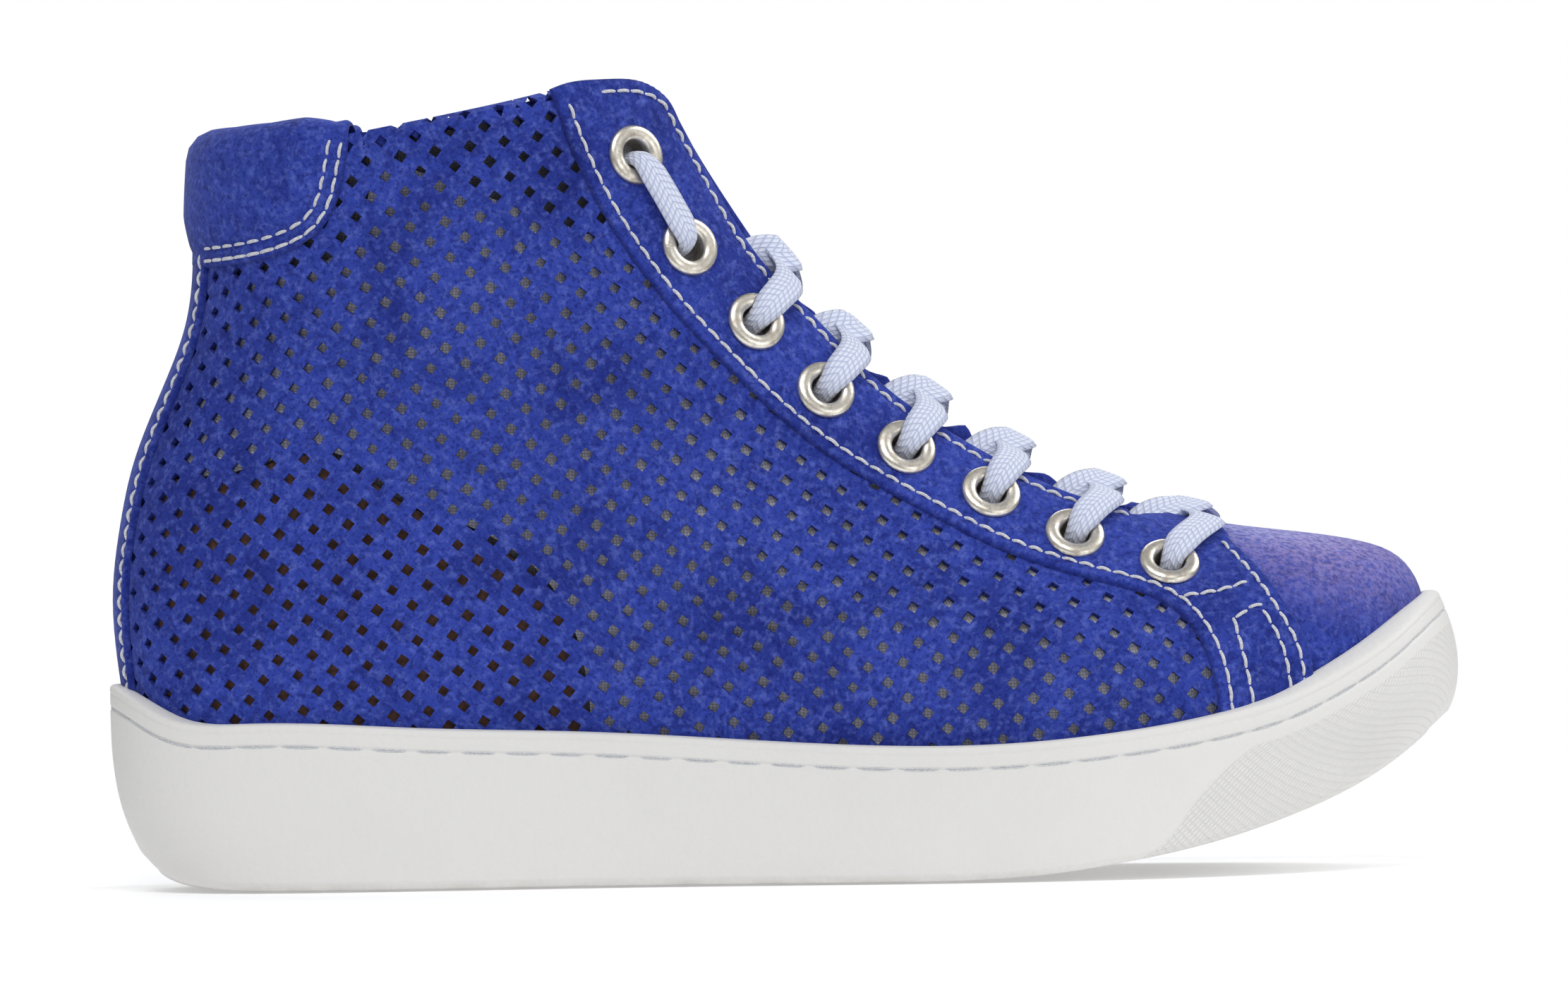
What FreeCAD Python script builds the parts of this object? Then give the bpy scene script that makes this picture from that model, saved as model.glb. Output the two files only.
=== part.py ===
"""Lace-up high top for a right foot: a white rubber cupsole with a hidden heel wedge under a suede upper.

The upper is a stack of thin sheets laid on one skin, the outer face of the leather as it sits on the
last. Every sheet is the skin pushed in or out by its own depth and cut to its own outline, the way a
shoemaker cuts flat pieces and stretches them over the same last. +X runs from heel to toe, the outer
(lateral) side of the foot faces -Y, and the sole stands on z = 0. Millimetres.
"""
import FreeCAD, Part
import math
import os

Vector = FreeCAD.Vector

# ---- driving dimensions -------------------------------------------------------------------------
LENGTH = 276.0          # cupsole, heel to toe
SIDE_SHIFT = 1.6        # brings the middle of the sole's widest outline onto y = 0
RUBBER_FLOOR = 5.0      # thickness of the cupsole under the foot
GLUE_GAP = 0.1          # space left between two sheets that are glued together
CUP_GAP = 0.3           # space left between the cup's wall and the upper's thickest stack
LEATHER = 1.4           # suede of the quarters and vamp
OVERLAY = 1.3           # suede of the pieces laid on top of the quarters
BACKING = 1.2           # stiffeners and foam between leather and lining
LINING = 0.8
SHANK_FROM, SHANK_TO = 0.12, 0.56      # shares of the foot's length
SHANK_WIDTH, SHANK_THICKNESS = 14.0, 1.4
EYELET_BORE_R = 3.1
EYELET_BARREL_R = 3.5
EYELET_FLANGE_R = 6.2
LACE_R = 1.4            # the lace bunched into a round cord

# Depths below (-) and above (+) the skin, as (inner face, outer face).
LEATHER_LAYER = (-LEATHER, 0.0)
OVERLAY_LAYER = (GLUE_GAP, GLUE_GAP + OVERLAY)
BACKING_LAYER = (-LEATHER - GLUE_GAP - BACKING, -LEATHER - GLUE_GAP)
LINING_LAYER = (BACKING_LAYER[0] - GLUE_GAP - LINING, BACKING_LAYER[0] - GLUE_GAP)
TONGUE_TOP = -9.2       # leaves room for the laces under the eyestays
TONGUE_LAYER = (TONGUE_TOP - 1.2, TONGUE_TOP)
TONGUE_FOAM_LAYER = (TONGUE_TOP - 4.2, TONGUE_TOP - 1.3)
TONGUE_LINING_LAYER = (TONGUE_TOP - 5.1, TONGUE_TOP - 4.3)

# ---- the skin's side view: stations are millimetres from the heel, heights from the ground -------
# Each row of the skin runs from the heel line to the front line; v is the row, 0 low and 1 high.
HEEL_LINE = [(0.0, 6.5, 27.0), (0.12, 3.4, 44.0), (0.25, 2.2, 60.0), (0.38, 4.0, 75.0), (0.50, 7.8, 89.0),
             (0.60, 13.0, 101.5), (0.69, 18.0, 114.0), (0.78, 20.0, 127.0), (0.88, 20.5, 141.0),
             (1.0, 21.5, 158.0)]
FRONT_LINE = [(0.0, 265.0, 33.0), (0.06, 268.6, 45.0), (0.11, 269.0, 54.0), (0.16, 265.5, 61.5),
              (0.22, 257.5, 66.0), (0.30, 241.0, 69.0), (0.38, 221.5, 72.0), (0.48, 193.5, 82.0), (0.60, 162.0, 101.5),
              (0.72, 135.0, 129.0), (0.84, 120.5, 156.0), (1.0, 110.0, 184.0)]
# The lowest row follows the footbed: (share of the way to the toe, height).
BED_LINE = [(0.0, 27.0), (0.15, 26.5), (0.30, 24.0), (0.45, 18.5), (0.60, 13.5), (0.72, 12.0), (0.82, 14.5),
            (0.91, 21.0), (1.0, 33.0)]
# Half-widths of each row at even shares of its length.
WIDTH_SHARES = [0.0, 0.2, 0.4, 0.6, 0.8, 1.0]
WIDTHS = [(0.0, [33.0, 30.5, 29.0, 38.0, 44.0, 37.5]),
          (0.18, [31.0, 31.0, 30.5, 37.5, 42.5, 36.0]),
          (0.38, [28.0, 30.5, 31.5, 34.0, 35.5, 33.0]),
          (0.60, [24.5, 29.0, 31.0, 31.0, 29.0, 27.0]),
          (0.80, [27.0, 31.0, 33.0, 33.0, 30.5, 27.0]),
          (1.0, [29.0, 33.0, 35.0, 34.5, 31.5, 27.0])]
# How square the ends of a row are: 0 is an ellipse, and larger is blunter.
FULLNESS = [(0.0, 2.8), (0.38, 2.2), (0.60, 1.6), (0.80, 0.8), (1.0, 0.4)]
# The foot's middle line swings to the inner side towards the toe: (station, sideways).
SWING = [(0.0, 0.0), (100.0, -2.0), (185.0, -1.5), (235.0, 2.5), (276.0, 7.5)]

# ---- the sole's side view ------------------------------------------------------------------------
GROUND_LINE = [(172.0, 0.0), (189.0, 0.9), (206.0, 3.1), (223.0, 6.4), (240.0, 11.5), (252.0, 16.3),
               (263.0, 22.4), (272.0, 29.0)]
HEEL_ROUNDING = [(4.0, 8.0), (10.0, 3.2), (17.0, 0.9), (28.0, 0.0)]
RIM_LINE = [(-3.0, 43.0), (2.0, 41.0), (10.0, 36.4), (28.0, 34.0), (62.0, 32.6), (97.0, 31.2), (131.0, 29.0),
            (160.0, 27.4), (183.0, 27.5), (206.0, 29.4), (229.0, 33.0), (240.0, 36.0), (251.0, 41.0),
            (263.0, 48.5), (271.0, 55.0), (279.0, 60.0)]
# Level sections of the sidewall: (height, heel station, toe station, share of the full width).
WALL_SECTIONS = [(-4.0, 10.5, 252.0, 0.945), (0.0, 9.5, 255.0, 0.968), (4.0, 7.6, 258.0, 0.99),
                 (9.0, 5.0, 261.0, 1.0), (16.0, 2.2, 264.5, 0.995), (24.0, 0.6, 268.5, 0.98),
                 (30.0, 0.1, 273.2, 0.967), (38.0, 0.0, 276.0, 0.955), (46.0, 0.1, 275.6, 0.945),
                 (54.0, 0.6, 273.0, 0.935), (64.0, 1.6, 268.0, 0.925)]
SOLE_WIDTHS = [38.8, 36.6, 35.0, 43.8, 49.6, 43.0]
SOLE_FULLNESS = 2.8

# ---- outlines of the pieces, seen from the side: (station, height) -------------------------------
THROAT_EDGE = [(117.8, 154.5), (125.2, 140.2), (132.8, 127.4), (144.8, 113.4), (161.0, 97.6), (177.0, 86.4),
               (193.3, 77.9), (209.3, 71.8), (222.2, 69.2)]
STAY_TOP = [(92.6, 161.2), (99.0, 162.9), (110.4, 162.8), (115.6, 159.4), (117.8, 154.5)]
STAY_REAR = [(228.9, 31.0), (227.6, 40.1), (224.6, 47.0), (218.0, 53.6), (204.8, 58.8), (185.6, 64.8),
             (166.3, 74.6), (147.0, 86.6), (127.4, 104.3), (109.5, 125.5), (98.6, 145.0), (92.6, 161.2)]
WING_FRONT = [(222.2, 69.2), (229.0, 66.0), (234.6, 60.8), (240.0, 53.1), (243.4, 46.4), (244.8, 38.0)]
TOPLINE = [(14.0, 148.4), (33.0, 149.2), (52.0, 151.2), (71.0, 154.4), (88.0, 158.0), (99.0, 160.8)]
COLLAR_LOWER = [(52.0, 151.2), (50.8, 145.0), (49.0, 138.4), (45.4, 133.2), (39.0, 129.6), (30.0, 127.4),
                (12.0, 126.2)]
EYELET_LINE = [(109.2, 147.5), (119.8, 128.6), (133.0, 112.9), (147.0, 98.8), (163.2, 86.7), (180.2, 77.1),
               (197.1, 68.5), (216.2, 62.2)]
COUNTER_EDGE = [(14.0, 84.0), (28.0, 84.5), (45.0, 88.0), (60.0, 79.0), (80.0, 69.0), (90.0, 60.0),
                (96.0, 46.0), (97.0, 20.0)]
LOW = 5.0               # a height that is under every sheet of the upper
OVERLAP = 5.5           # how far a quarter runs under the piece laid on it

PARTS = "parts"
os.makedirs(PARTS, exist_ok=True)


# ---- numbers -------------------------------------------------------------------------------------
def natural_spline(knots, values):
    """The smoothest curve through the values, as a function of the knot variable."""
    count = len(knots)
    gaps = [knots[i + 1] - knots[i] for i in range(count - 1)]
    slopes = [(values[i + 1] - values[i]) / gaps[i] for i in range(count - 1)]
    bends = [0.0] * count
    scale = [0.0] * count
    for i in range(1, count - 1):
        pivot = 2.0 * (gaps[i - 1] + gaps[i]) - gaps[i - 1] * scale[i - 1]
        scale[i] = gaps[i] / pivot
        bends[i] = (6.0 * (slopes[i] - slopes[i - 1]) - gaps[i - 1] * bends[i - 1]) / pivot
    for i in range(count - 2, 0, -1):
        bends[i] -= scale[i] * bends[i + 1]

    def value(x):
        i = 0
        while i < count - 2 and x > knots[i + 1]:
            i += 1
        a = (knots[i + 1] - x) / gaps[i]
        b = 1.0 - a
        cubic = ((a ** 3 - a) * bends[i] + (b ** 3 - b) * bends[i + 1]) * gaps[i] ** 2 / 6.0
        return a * values[i] + b * values[i + 1] + cubic

    return value


def columns(rows):
    return [list(column) for column in zip(*rows)]


def row_table(rows):
    """A function of (row, share) through a table of one short list for each row."""
    knots = [row[0] for row in rows]
    across = [natural_spline(knots, [row[1][i] for row in rows]) for i in range(len(WIDTH_SHARES))]
    return lambda v, share: natural_spline(WIDTH_SHARES, [f(v) for f in across])(share)


def mix(a, b, share):
    return a + (b - a) * share


def squared(turn, fullness):
    """A sine whose top is flattened, so that a row made with it has full sides and round ends."""
    return turn * math.sqrt(1.0 + fullness) / math.sqrt(1.0 + fullness * turn * turn)


# ---- the skin ------------------------------------------------------------------------------------
heel_v, heel_x, heel_z = columns(HEEL_LINE)
front_v, front_x, front_z = columns(FRONT_LINE)
heel_station, heel_height = natural_spline(heel_v, heel_x), natural_spline(heel_v, heel_z)
front_station, front_height = natural_spline(front_v, front_x), natural_spline(front_v, front_z)
bed_height = natural_spline(*columns(BED_LINE))
half_width = row_table(WIDTHS)
fullness_of = natural_spline(*columns(FULLNESS))
swing = natural_spline(*columns(SWING))


def place(station, sideways, height):
    """A point in the part's own frame, whose origin is under the middle of the sole."""
    return Vector(station - LENGTH / 2.0, sideways + SIDE_SHIFT, height)


def skin_point(u, v):
    """The skin at u half turns round from the heel (0 to 1 lateral, 1 to 2 medial) and row v."""
    share = (1.0 - math.cos(math.pi * u)) / 2.0
    station = mix(heel_station(v), front_station(v), share)
    dip = bed_height(share) - mix(heel_z[0], front_z[0], share)
    height = mix(heel_height(v), front_height(v), share) + (1.0 - v) * dip
    side = half_width(v, share) * squared(math.sin(math.pi * u), fullness_of(v))
    return place(station, swing(station) * (1.0 - v) - side, height)


def skin_frame(u, v):
    """A point of the skin and the direction that points out of the shoe there."""
    step = 0.002
    along = skin_point(u + step, v) - skin_point(u - step, v)
    up = skin_point(u, v + step) - skin_point(u, v - step)
    return skin_point(u, v), along.cross(up).normalize()


def ridge_reach(sideways, v):
    """The step in u that goes an arc length sideways from the front line of row v."""
    return sideways / (math.pi * half_width(v, 1.0) * math.sqrt(1.0 + fullness_of(v)))


def on_skin(station, height, medial=False):
    """The skin's (u, v) under a point of the side view."""
    low, high = 0.0, 1.0
    share = 0.5
    for _ in range(40):
        v = (low + high) / 2.0
        share = (station - heel_station(v)) / (front_station(v) - heel_station(v))
        share = min(max(share, 0.0), 1.0)
        dip = bed_height(share) - mix(heel_z[0], front_z[0], share)
        if mix(heel_height(v), front_height(v), share) + (1.0 - v) * dip < height:
            low = v
        else:
            high = v
    u = math.acos(1.0 - 2.0 * share) / math.pi
    return (2.0 - u if medial else u), (low + high) / 2.0


def lasted_surface(u_ends, v_ends, depth, steps):
    """The skin pushed out by depth, as one smooth surface; u_ends(v) gives the ends of a row."""
    across, up = steps
    grid = []
    for i in range(across + 1):
        row = []
        for j in range(up + 1):
            v = mix(v_ends[0], v_ends[1], j / up)
            first, last = u_ends(v)
            point, out = skin_frame(mix(first, last, i / across), v)
            row.append(point + out * depth)
        grid.append(row)
    surface = Part.BSplineSurface()
    surface.interpolate(grid)
    return surface


def sheet(u_ends, v_ends, layer, steps=(22, 16)):
    """A closed solid between the two depths of a layer."""
    ends = u_ends if callable(u_ends) else (lambda v: u_ends)
    inner = lasted_surface(ends, v_ends, layer[0], steps)
    outer = lasted_surface(ends, v_ends, layer[1], steps)
    u0, u1, v0, v1 = inner.bounds()
    s0, s1, t0, t1 = outer.bounds()
    faces = [inner.toShape(), outer.toShape()]
    for a, b in ((inner.uIso(u0), outer.uIso(s0)), (inner.uIso(u1), outer.uIso(s1)),
                 (inner.vIso(v0), outer.vIso(t0)), (inner.vIso(v1), outer.vIso(t1))):
        faces.append(Part.makeRuledSurface(a.toShape(), b.toShape()))
    sewn = Part.makeShell(faces)
    sewn.sewShape()
    solid = Part.makeSolid(sewn)
    if solid.Volume < 0:
        solid.reverse()
    return solid


def level_point(u, height, depth):
    """A point of the lasted upper at one height; under its lowest row it drops straight down."""
    def lasted(v):
        point, out = skin_frame(u, v)
        return point + out * depth
    low, high = 0.0, 0.7
    if lasted(low).z >= height:
        high = low
    for _ in range(24):
        middle = (low + high) / 2.0
        if lasted(middle).z < height:
            low = middle
        else:
            high = middle
    point = lasted(high)
    return Vector(point.x, point.y, height)


def lower_shape(depth, steps=64):
    """The low part of the lasted upper as one body, pushed out by depth."""
    wires = []
    for i in range(28):
        height = -5.0 + 2.5 * i
        curve = Part.BSplineCurve()
        points = [level_point(2.0 * k / steps, height, depth) for k in range(steps)]
        curve.interpolate(points, PeriodicFlag=True)
        wires.append(Part.Wire(curve.toShape()))
    return Part.makeLoft(wires, True, False)


LATERAL = (0.0, 1.0)
MEDIAL = (1.0, 2.0)


# ---- cutting to outline --------------------------------------------------------------------------
def run(points):
    """One edge of an outline: a straight line through two points, a smooth curve through more."""
    if len(points) == 2:
        return Part.makeLine(*points)
    curve = Part.BSplineCurve()
    curve.interpolate(points)
    return curve.toShape()


def side_cutter(runs, y_from=-90.0, y_to=90.0):
    """A block with the given outline in the side view, long enough to cut through the shoe."""
    edges = []
    for points in runs:
        edges.append(run([place(x, 0.0, z) for x, z in points]))
    face = Part.Face(Part.Wire(edges))
    face.translate(Vector(0, y_from - SIDE_SHIFT, 0))
    return face.extrude(Vector(0, y_to - y_from, 0))


def joined(*runs):
    """The runs with straight lines filled in between them, closed."""
    result = []
    for i, points in enumerate(runs):
        result.append(points)
        end, start = points[-1], runs[(i + 1) % len(runs)][0]
        if math.dist(end, start) > 1e-6:
            result.append([end, start])
    return result


def shifted(points, dx, dz):
    return [(x + dx, z + dz) for x, z in points]


def one_solid(shape):
    """The largest solid of a cut, without the crumbs beyond its outline."""
    return max(shape.Solids, key=lambda solid: solid.Volume)


def export(name, shape):
    shape.exportStep(os.path.join(PARTS, name + ".step"))
    print(f"{name}: {len(shape.Solids)} solid(s), {shape.Volume / 1000.0:.2f} cm3, valid {shape.isValid()}")


# ---- the sole unit -------------------------------------------------------------------------------
def plan_point(u, height, ends, widths, fullness, share_of_width=1.0, inset=0.0):
    """A point of a level outline of the foot's plan, between a heel and a toe station."""
    share = (1.0 - math.cos(math.pi * u)) / 2.0
    station = mix(ends[0], ends[1], share)
    turn = squared(math.sin(math.pi * u), fullness)
    side = (natural_spline(WIDTH_SHARES, widths)(share) * share_of_width - inset) * turn
    return place(station, swing(station) - side, height)


def plan_wire(height, ends, widths, fullness, share_of_width=1.0, inset=0.0, steps=40):
    points = []
    for i in range(steps):
        points.append(plan_point(2.0 * i / steps, height, ends, widths, fullness, share_of_width, inset))
    curve = Part.BSplineCurve()
    curve.interpolate(points, PeriodicFlag=True)
    return Part.Wire(curve.toShape())


def plan_body(inset, end_inset, z_from=0.0, z_to=75.0):
    """An upright body with the plan of the foot inside the upper, pulled in by the two insets."""
    ends = (HEEL_LINE[0][1] + end_inset, FRONT_LINE[0][1] - end_inset)
    wire = plan_wire(z_from, ends, WIDTHS[0][1], FULLNESS[0][1], inset=inset)
    return Part.Face(wire).extrude(Vector(0, 0, z_to - z_from))


def bed_points(rise, first=0.0, last=1.0, steps=14):
    """Side-view points of the footbed line, lifted by rise."""
    points = []
    for i in range(steps + 1):
        share = mix(first, last, i / steps)
        points.append((mix(HEEL_LINE[0][1], FRONT_LINE[0][1], share), bed_height(share) + rise))
    return points


def bed_slab(low_rise, high_rise):
    """A block between two heights over the footbed line, longer than the foot at both ends."""
    lower, upper = bed_points(low_rise), bed_points(high_rise)
    lower = [(-12.0, lower[0][1])] + lower + [(285.0, lower[-1][1] + 14.0)]
    upper = [(-12.0, upper[0][1])] + upper + [(285.0, upper[-1][1] + 14.0)]
    return side_cutter(joined(lower, list(reversed(upper))))


def ground_and_rim(floor):
    """The sole's side view from floor above the ground line up to the rim."""
    lower = shifted(HEEL_ROUNDING, 0, floor) + shifted(GROUND_LINE, 0, floor)
    runs = [[(-8.0, lower[0][1]), lower[0]], shifted(HEEL_ROUNDING, 0, floor),
            [(28.0, floor), (172.0, floor)], shifted(GROUND_LINE, 0, floor),
            [lower[-1], (290.0, lower[-1][1])]]
    return runs


def sole_blank():
    wires = []
    for height, heel, toe, share in WALL_SECTIONS:
        wires.append(plan_wire(height, (heel, toe), SOLE_WIDTHS, SOLE_FULLNESS, share))
    body = Part.makeLoft(wires, True, False)
    rim = list(reversed(RIM_LINE))
    outline = joined(*ground_and_rim(0.0), [(290.0, 60.0), rim[0]], rim, [rim[-1], (-8.0, rim[-1][1])])
    return body.common(side_cutter(outline))


def make_cupsole():
    """The rubber cup: an outer wall and floor, hollowed for the filler and the lasted upper."""
    cup = sole_blank()
    outline = joined(*ground_and_rim(RUBBER_FLOOR), [(290.0, 80.0), (-8.0, 80.0)])
    hollow = plan_body(1.5, 1.5, -10.0).common(side_cutter(outline))
    pocket = lower_shape(OVERLAY_LAYER[1] + CUP_GAP).common(bed_slab(-0.6, 90.0))
    return one_solid(cup.cut(hollow).cut(pocket))


def make_wedge():
    """The foam filler that lifts the heel, with a slot for the shank in its top."""
    above_floor = side_cutter(joined(*ground_and_rim(RUBBER_FLOOR + GLUE_GAP), [(290.0, 80.0), (-8.0, 80.0)]))
    wedge = plan_body(1.8, 1.8, -5.0).common(above_floor).common(bed_slab(-40.0, -0.3))
    return one_solid(wedge.cut(shank_body(0.2)))


def shank_body(room):
    """A stiff strip under the arch that follows the footbed."""
    top = bed_points(-0.4 + room, SHANK_FROM, SHANK_TO)
    low = list(reversed(shifted(top, 0, -SHANK_THICKNESS - 2 * room)))
    top = [(top[0][0] - room, top[0][1])] + top[1:-1] + [(top[-1][0] + room, top[-1][1])]
    low = [(low[0][0] + room, low[0][1])] + low[1:-1] + [(low[-1][0] - room, low[-1][1])]
    half = SHANK_WIDTH / 2.0 + room
    return side_cutter(joined(top, low), -half, half)


def make_board():
    return one_solid(plan_body(4.6, 5.0).common(bed_slab(0.0, 2.0)))


def make_sockliner():
    """The loose footbed."""
    return one_solid(plan_body(6.6, 7.4).common(bed_slab(2.2, 6.2)))


# ---- the upper -----------------------------------------------------------------------------------
def make_quarter(side):
    whole = sheet(side, (0.0, 0.97), LEATHER_LAYER, (24, 20))
    under_stay = shifted(STAY_REAR, 4.2, 3.2)[1:-1]
    rear_run = [(6.2, LOW), (4.2, 44.0), (4.4, 60.0), (6.6, 76.0), (10.6, 90.0), (16.0, 102.0), (20.8, 114.0),
                (22.4, 124.0)]
    collar_run = [(22.4, 124.0), (31.0, 132.5), (38.0, 135.0), (42.6, 139.0), (45.4, 146.0), (46.0, 150.6)]
    top_run = [(46.0, 150.6)] + TOPLINE[2:]
    outline = joined(rear_run, collar_run, top_run, list(reversed(under_stay)),
                     [under_stay[0], (under_stay[0][0], LOW)])
    return one_solid(whole.common(side_cutter(outline)).cut(eyelet_holes(side == MEDIAL)))


def stay_outline():
    return joined(STAY_TOP, THROAT_EDGE, WING_FRONT, [WING_FRONT[-1], (245.0, LOW)],
                  [(245.0, LOW), (229.2, LOW)], [(229.2, LOW), STAY_REAR[0]], STAY_REAR)


def eyelet_places(medial):
    found = []
    for station, height in EYELET_LINE:
        point, out = skin_frame(*on_skin(station, height, medial))
        found.append((point, out))
    return found


def eyelet_holes(medial, radius=EYELET_BARREL_R + GLUE_GAP):
    holes = [Part.makeCylinder(radius, 16.0, point - out * 8.0, out) for point, out in eyelet_places(medial)]
    return Part.makeCompound(holes)


def make_eyestay(side):
    medial = side == MEDIAL
    whole = sheet(side, (0.0, 0.98), OVERLAY_LAYER, (24, 22))
    return one_solid(whole.common(side_cutter(stay_outline())).cut(eyelet_holes(medial)))


def make_stay_stiffener(side):
    """The strip that backs the eyelets, from the quarter's hidden edge to near the throat."""
    medial = side == MEDIAL
    whole = sheet(side, (0.15, 0.96), (BACKING_LAYER[0], -GLUE_GAP), (24, 20))
    rear = shifted(STAY_REAR, 5.0, 3.9)[4:-2]
    front = shifted(THROAT_EDGE, -1.0, -1.0)[:-1]
    outline = joined(front, rear)
    return one_solid(whole.common(side_cutter(outline)).cut(eyelet_holes(medial)))


def make_quarter_backing(side):
    """Foam-backed cloth behind the perforated leather, ahead of the heel counter."""
    whole = sheet(side, (0.0, 0.96), BACKING_LAYER, (24, 20))
    stay_side = shifted(STAY_REAR, 2.6, 1.6)[2:-2]
    counter = shifted(list(reversed(COUNTER_EDGE)), 1.0, 1.0)
    rear = [(15.0, 85.0), (19.0, 98.0), (23.0, 112.0), (25.0, 121.0), (46.0, 127.0), (55.0, 138.0),
            (56.0, 149.0)]
    outline = joined(rear, list(reversed(stay_side)), [stay_side[0], (stay_side[0][0], LOW)],
                     [(stay_side[0][0], LOW), counter[0]], counter)
    return one_solid(whole.common(side_cutter(outline)).cut(eyelet_holes(side == MEDIAL)))


def make_heel_counter():
    """The stiff cup round the back of the heel."""
    whole = sheet((-0.42, 0.42), (0.0, 0.6), BACKING_LAYER, (26, 12))
    outline = joined([(-5.0, LOW), (-5.0, 84.0)], COUNTER_EDGE, [(97.0, 20.0), (97.0, LOW)])
    return one_solid(whole.common(side_cutter(outline)))


def make_backstay():
    """The strip over the heel seam, from the collar down into the cup."""
    def ends(v):
        half = 11.0 / (math.pi * half_width(v, 0.0) * math.sqrt(1.0 + fullness_of(v)))
        return -half, half
    return sheet(ends, (0.0, 0.76), OVERLAY_LAYER, (8, 16))


def make_collar():
    """The padded suede patch round the top of the heel, over its foam."""
    whole = sheet((-0.5, 0.5), (0.6, 0.99), (1.7, 1.7 + OVERLAY), (24, 10))
    outline = joined(list(reversed(COLLAR_LOWER)), list(reversed(TOPLINE[:3])), [TOPLINE[0], (12.0, 148.4)])
    return one_solid(whole.common(side_cutter(outline)))


def make_collar_foam():
    whole = sheet((-0.5, 0.5), (0.6, 0.99), (BACKING_LAYER[0], 1.6), (24, 10))
    outline = joined([(12.0, 133.0), (30.0, 133.6), (37.0, 136.2), (41.4, 140.0), (44.0, 147.0),
                      (44.4, 149.4)], [(44.4, 149.4), (30.0, 148.2), (12.0, 147.4)])
    return one_solid(whole.common(side_cutter(outline)))


def make_quarter_lining():
    """One lining round the back of the shoe, from throat to throat."""
    top = shifted(TOPLINE, 0, -0.8)[:-1]
    outline = joined([(-5.0, LOW), (-5.0, 147.6)], [(-5.0, 147.6)] + top, [top[-1], (97.0, 161.0)],
                     [(97.0, 161.0), (110.0, 161.8)], [(110.0, 161.8), (117.2, 153.9)],
                     [(117.2, 153.9), (170.0, 110.0)], [(170.0, 110.0), (212.0, 80.0)],
                     [(212.0, 80.0), (212.0, 60.0)], [(212.0, 60.0), (214.0, LOW)])
    gap = natural_spline(*columns(THROAT_GAP))

    def ends(v):
        reach = ridge_reach(gap(min(max(v, 0.36), 0.84)) + 0.6, v)
        return reach - 1.0, 1.0 - reach
    lining = one_solid(sheet(ends, (0.0, 0.98), LINING_LAYER, (44, 22)).common(side_cutter(outline)))
    return one_solid(lining.cut(eyelet_holes(False)).cut(eyelet_holes(True)))


VAMP_SPAN = (0.5, 1.5)


def make_vamp():
    """The toe piece: over the toes from side to side, and back under both wings."""
    whole = sheet(VAMP_SPAN, (0.0, 0.5), LEATHER_LAYER, (34, 20))
    whole = whole.cut(eyelet_holes(False)).cut(eyelet_holes(True))
    outline = joined([(234.0, LOW), (234.0, 34.0), (231.0, 46.0), (224.0, 56.0), (216.0, 63.0),
                      (214.0, 80.0)], [(214.0, 80.0), (285.0, 80.0)], [(285.0, 80.0), (285.0, LOW)])
    return one_solid(whole.common(side_cutter(outline)))


def make_toe_puff():
    whole = sheet(VAMP_SPAN, (0.02, 0.4), BACKING_LAYER, (34, 16))
    outline = joined([(243.0, LOW), (243.0, 45.0), (238.0, 58.0), (232.0, 80.0)],
                     [(232.0, 80.0), (285.0, 80.0)], [(285.0, 80.0), (285.0, LOW)])
    return one_solid(whole.common(side_cutter(outline)))


def make_vamp_lining():
    whole = sheet(VAMP_SPAN, (0.0, 0.5), LINING_LAYER, (34, 20))
    whole = whole.cut(eyelet_holes(False)).cut(eyelet_holes(True))
    outline = joined([(215.0, LOW), (213.0, 60.0), (223.6, 64.4), (226.0, 80.0)],
                     [(226.0, 80.0), (285.0, 80.0)], [(285.0, 80.0), (285.0, LOW)])
    return one_solid(whole.common(side_cutter(outline)))


# ---- the tongue ----------------------------------------------------------------------------------
TONGUE_HALF_WIDTH = [(0.36, 18.0), (0.48, 23.0), (0.66, 24.0), (0.86, 22.0)]


def make_tongue_layer(layer, trim):
    """A strip down the front of the shoe, under the laces and above the foot."""
    width = natural_spline(*columns(TONGUE_HALF_WIDTH))

    def ends(v):
        reach = ridge_reach(width(v) - trim, v)
        return 1.0 - reach, 1.0 + reach
    return sheet(ends, (0.36 + trim * 0.002, 0.845 - trim * 0.002), layer, (12, 18))


# ---- eyelets -------------------------------------------------------------------------------------
FLANGE_SEAT = OVERLAY_LAYER[1] + 0.35
FLANGE_RISE = 0.9
WASHER_SEAT = LINING_LAYER[0] - 0.5
WASHER_R = 5.2


def lathe(profile, point, out):
    """A ring with the given (radius, height) profile round an axis through point."""
    wire = Part.makePolygon([Vector(r, 0, h) for r, h in profile] + [Vector(profile[0][0], 0, profile[0][1])])
    turned = Part.Face(wire).revolve(Vector(0, 0, 0), Vector(0, 0, 1), 360.0)
    turned = turned if turned.ShapeType == "Solid" else Part.makeSolid(turned)
    turned.Placement = FreeCAD.Placement(point, FreeCAD.Rotation(Vector(0, 0, 1), out))
    return turned


def eyelet(point, out):
    """A rolled metal rim outside and a barrel through every sheet."""
    seat, top = FLANGE_SEAT, FLANGE_SEAT + FLANGE_RISE
    profile = [(EYELET_BORE_R, WASHER_SEAT - 0.6), (EYELET_BARREL_R, WASHER_SEAT - 0.6),
               (EYELET_BARREL_R, seat), (EYELET_FLANGE_R, seat), (EYELET_FLANGE_R, seat + 0.35),
               (EYELET_FLANGE_R - 0.5, top - 0.15), (EYELET_FLANGE_R - 1.3, top),
               (EYELET_BORE_R + 0.8, top - 0.05), (EYELET_BORE_R + 0.2, seat + 0.3),
               (EYELET_BORE_R, seat - 0.2)]
    return lathe(profile, point, out)


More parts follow.
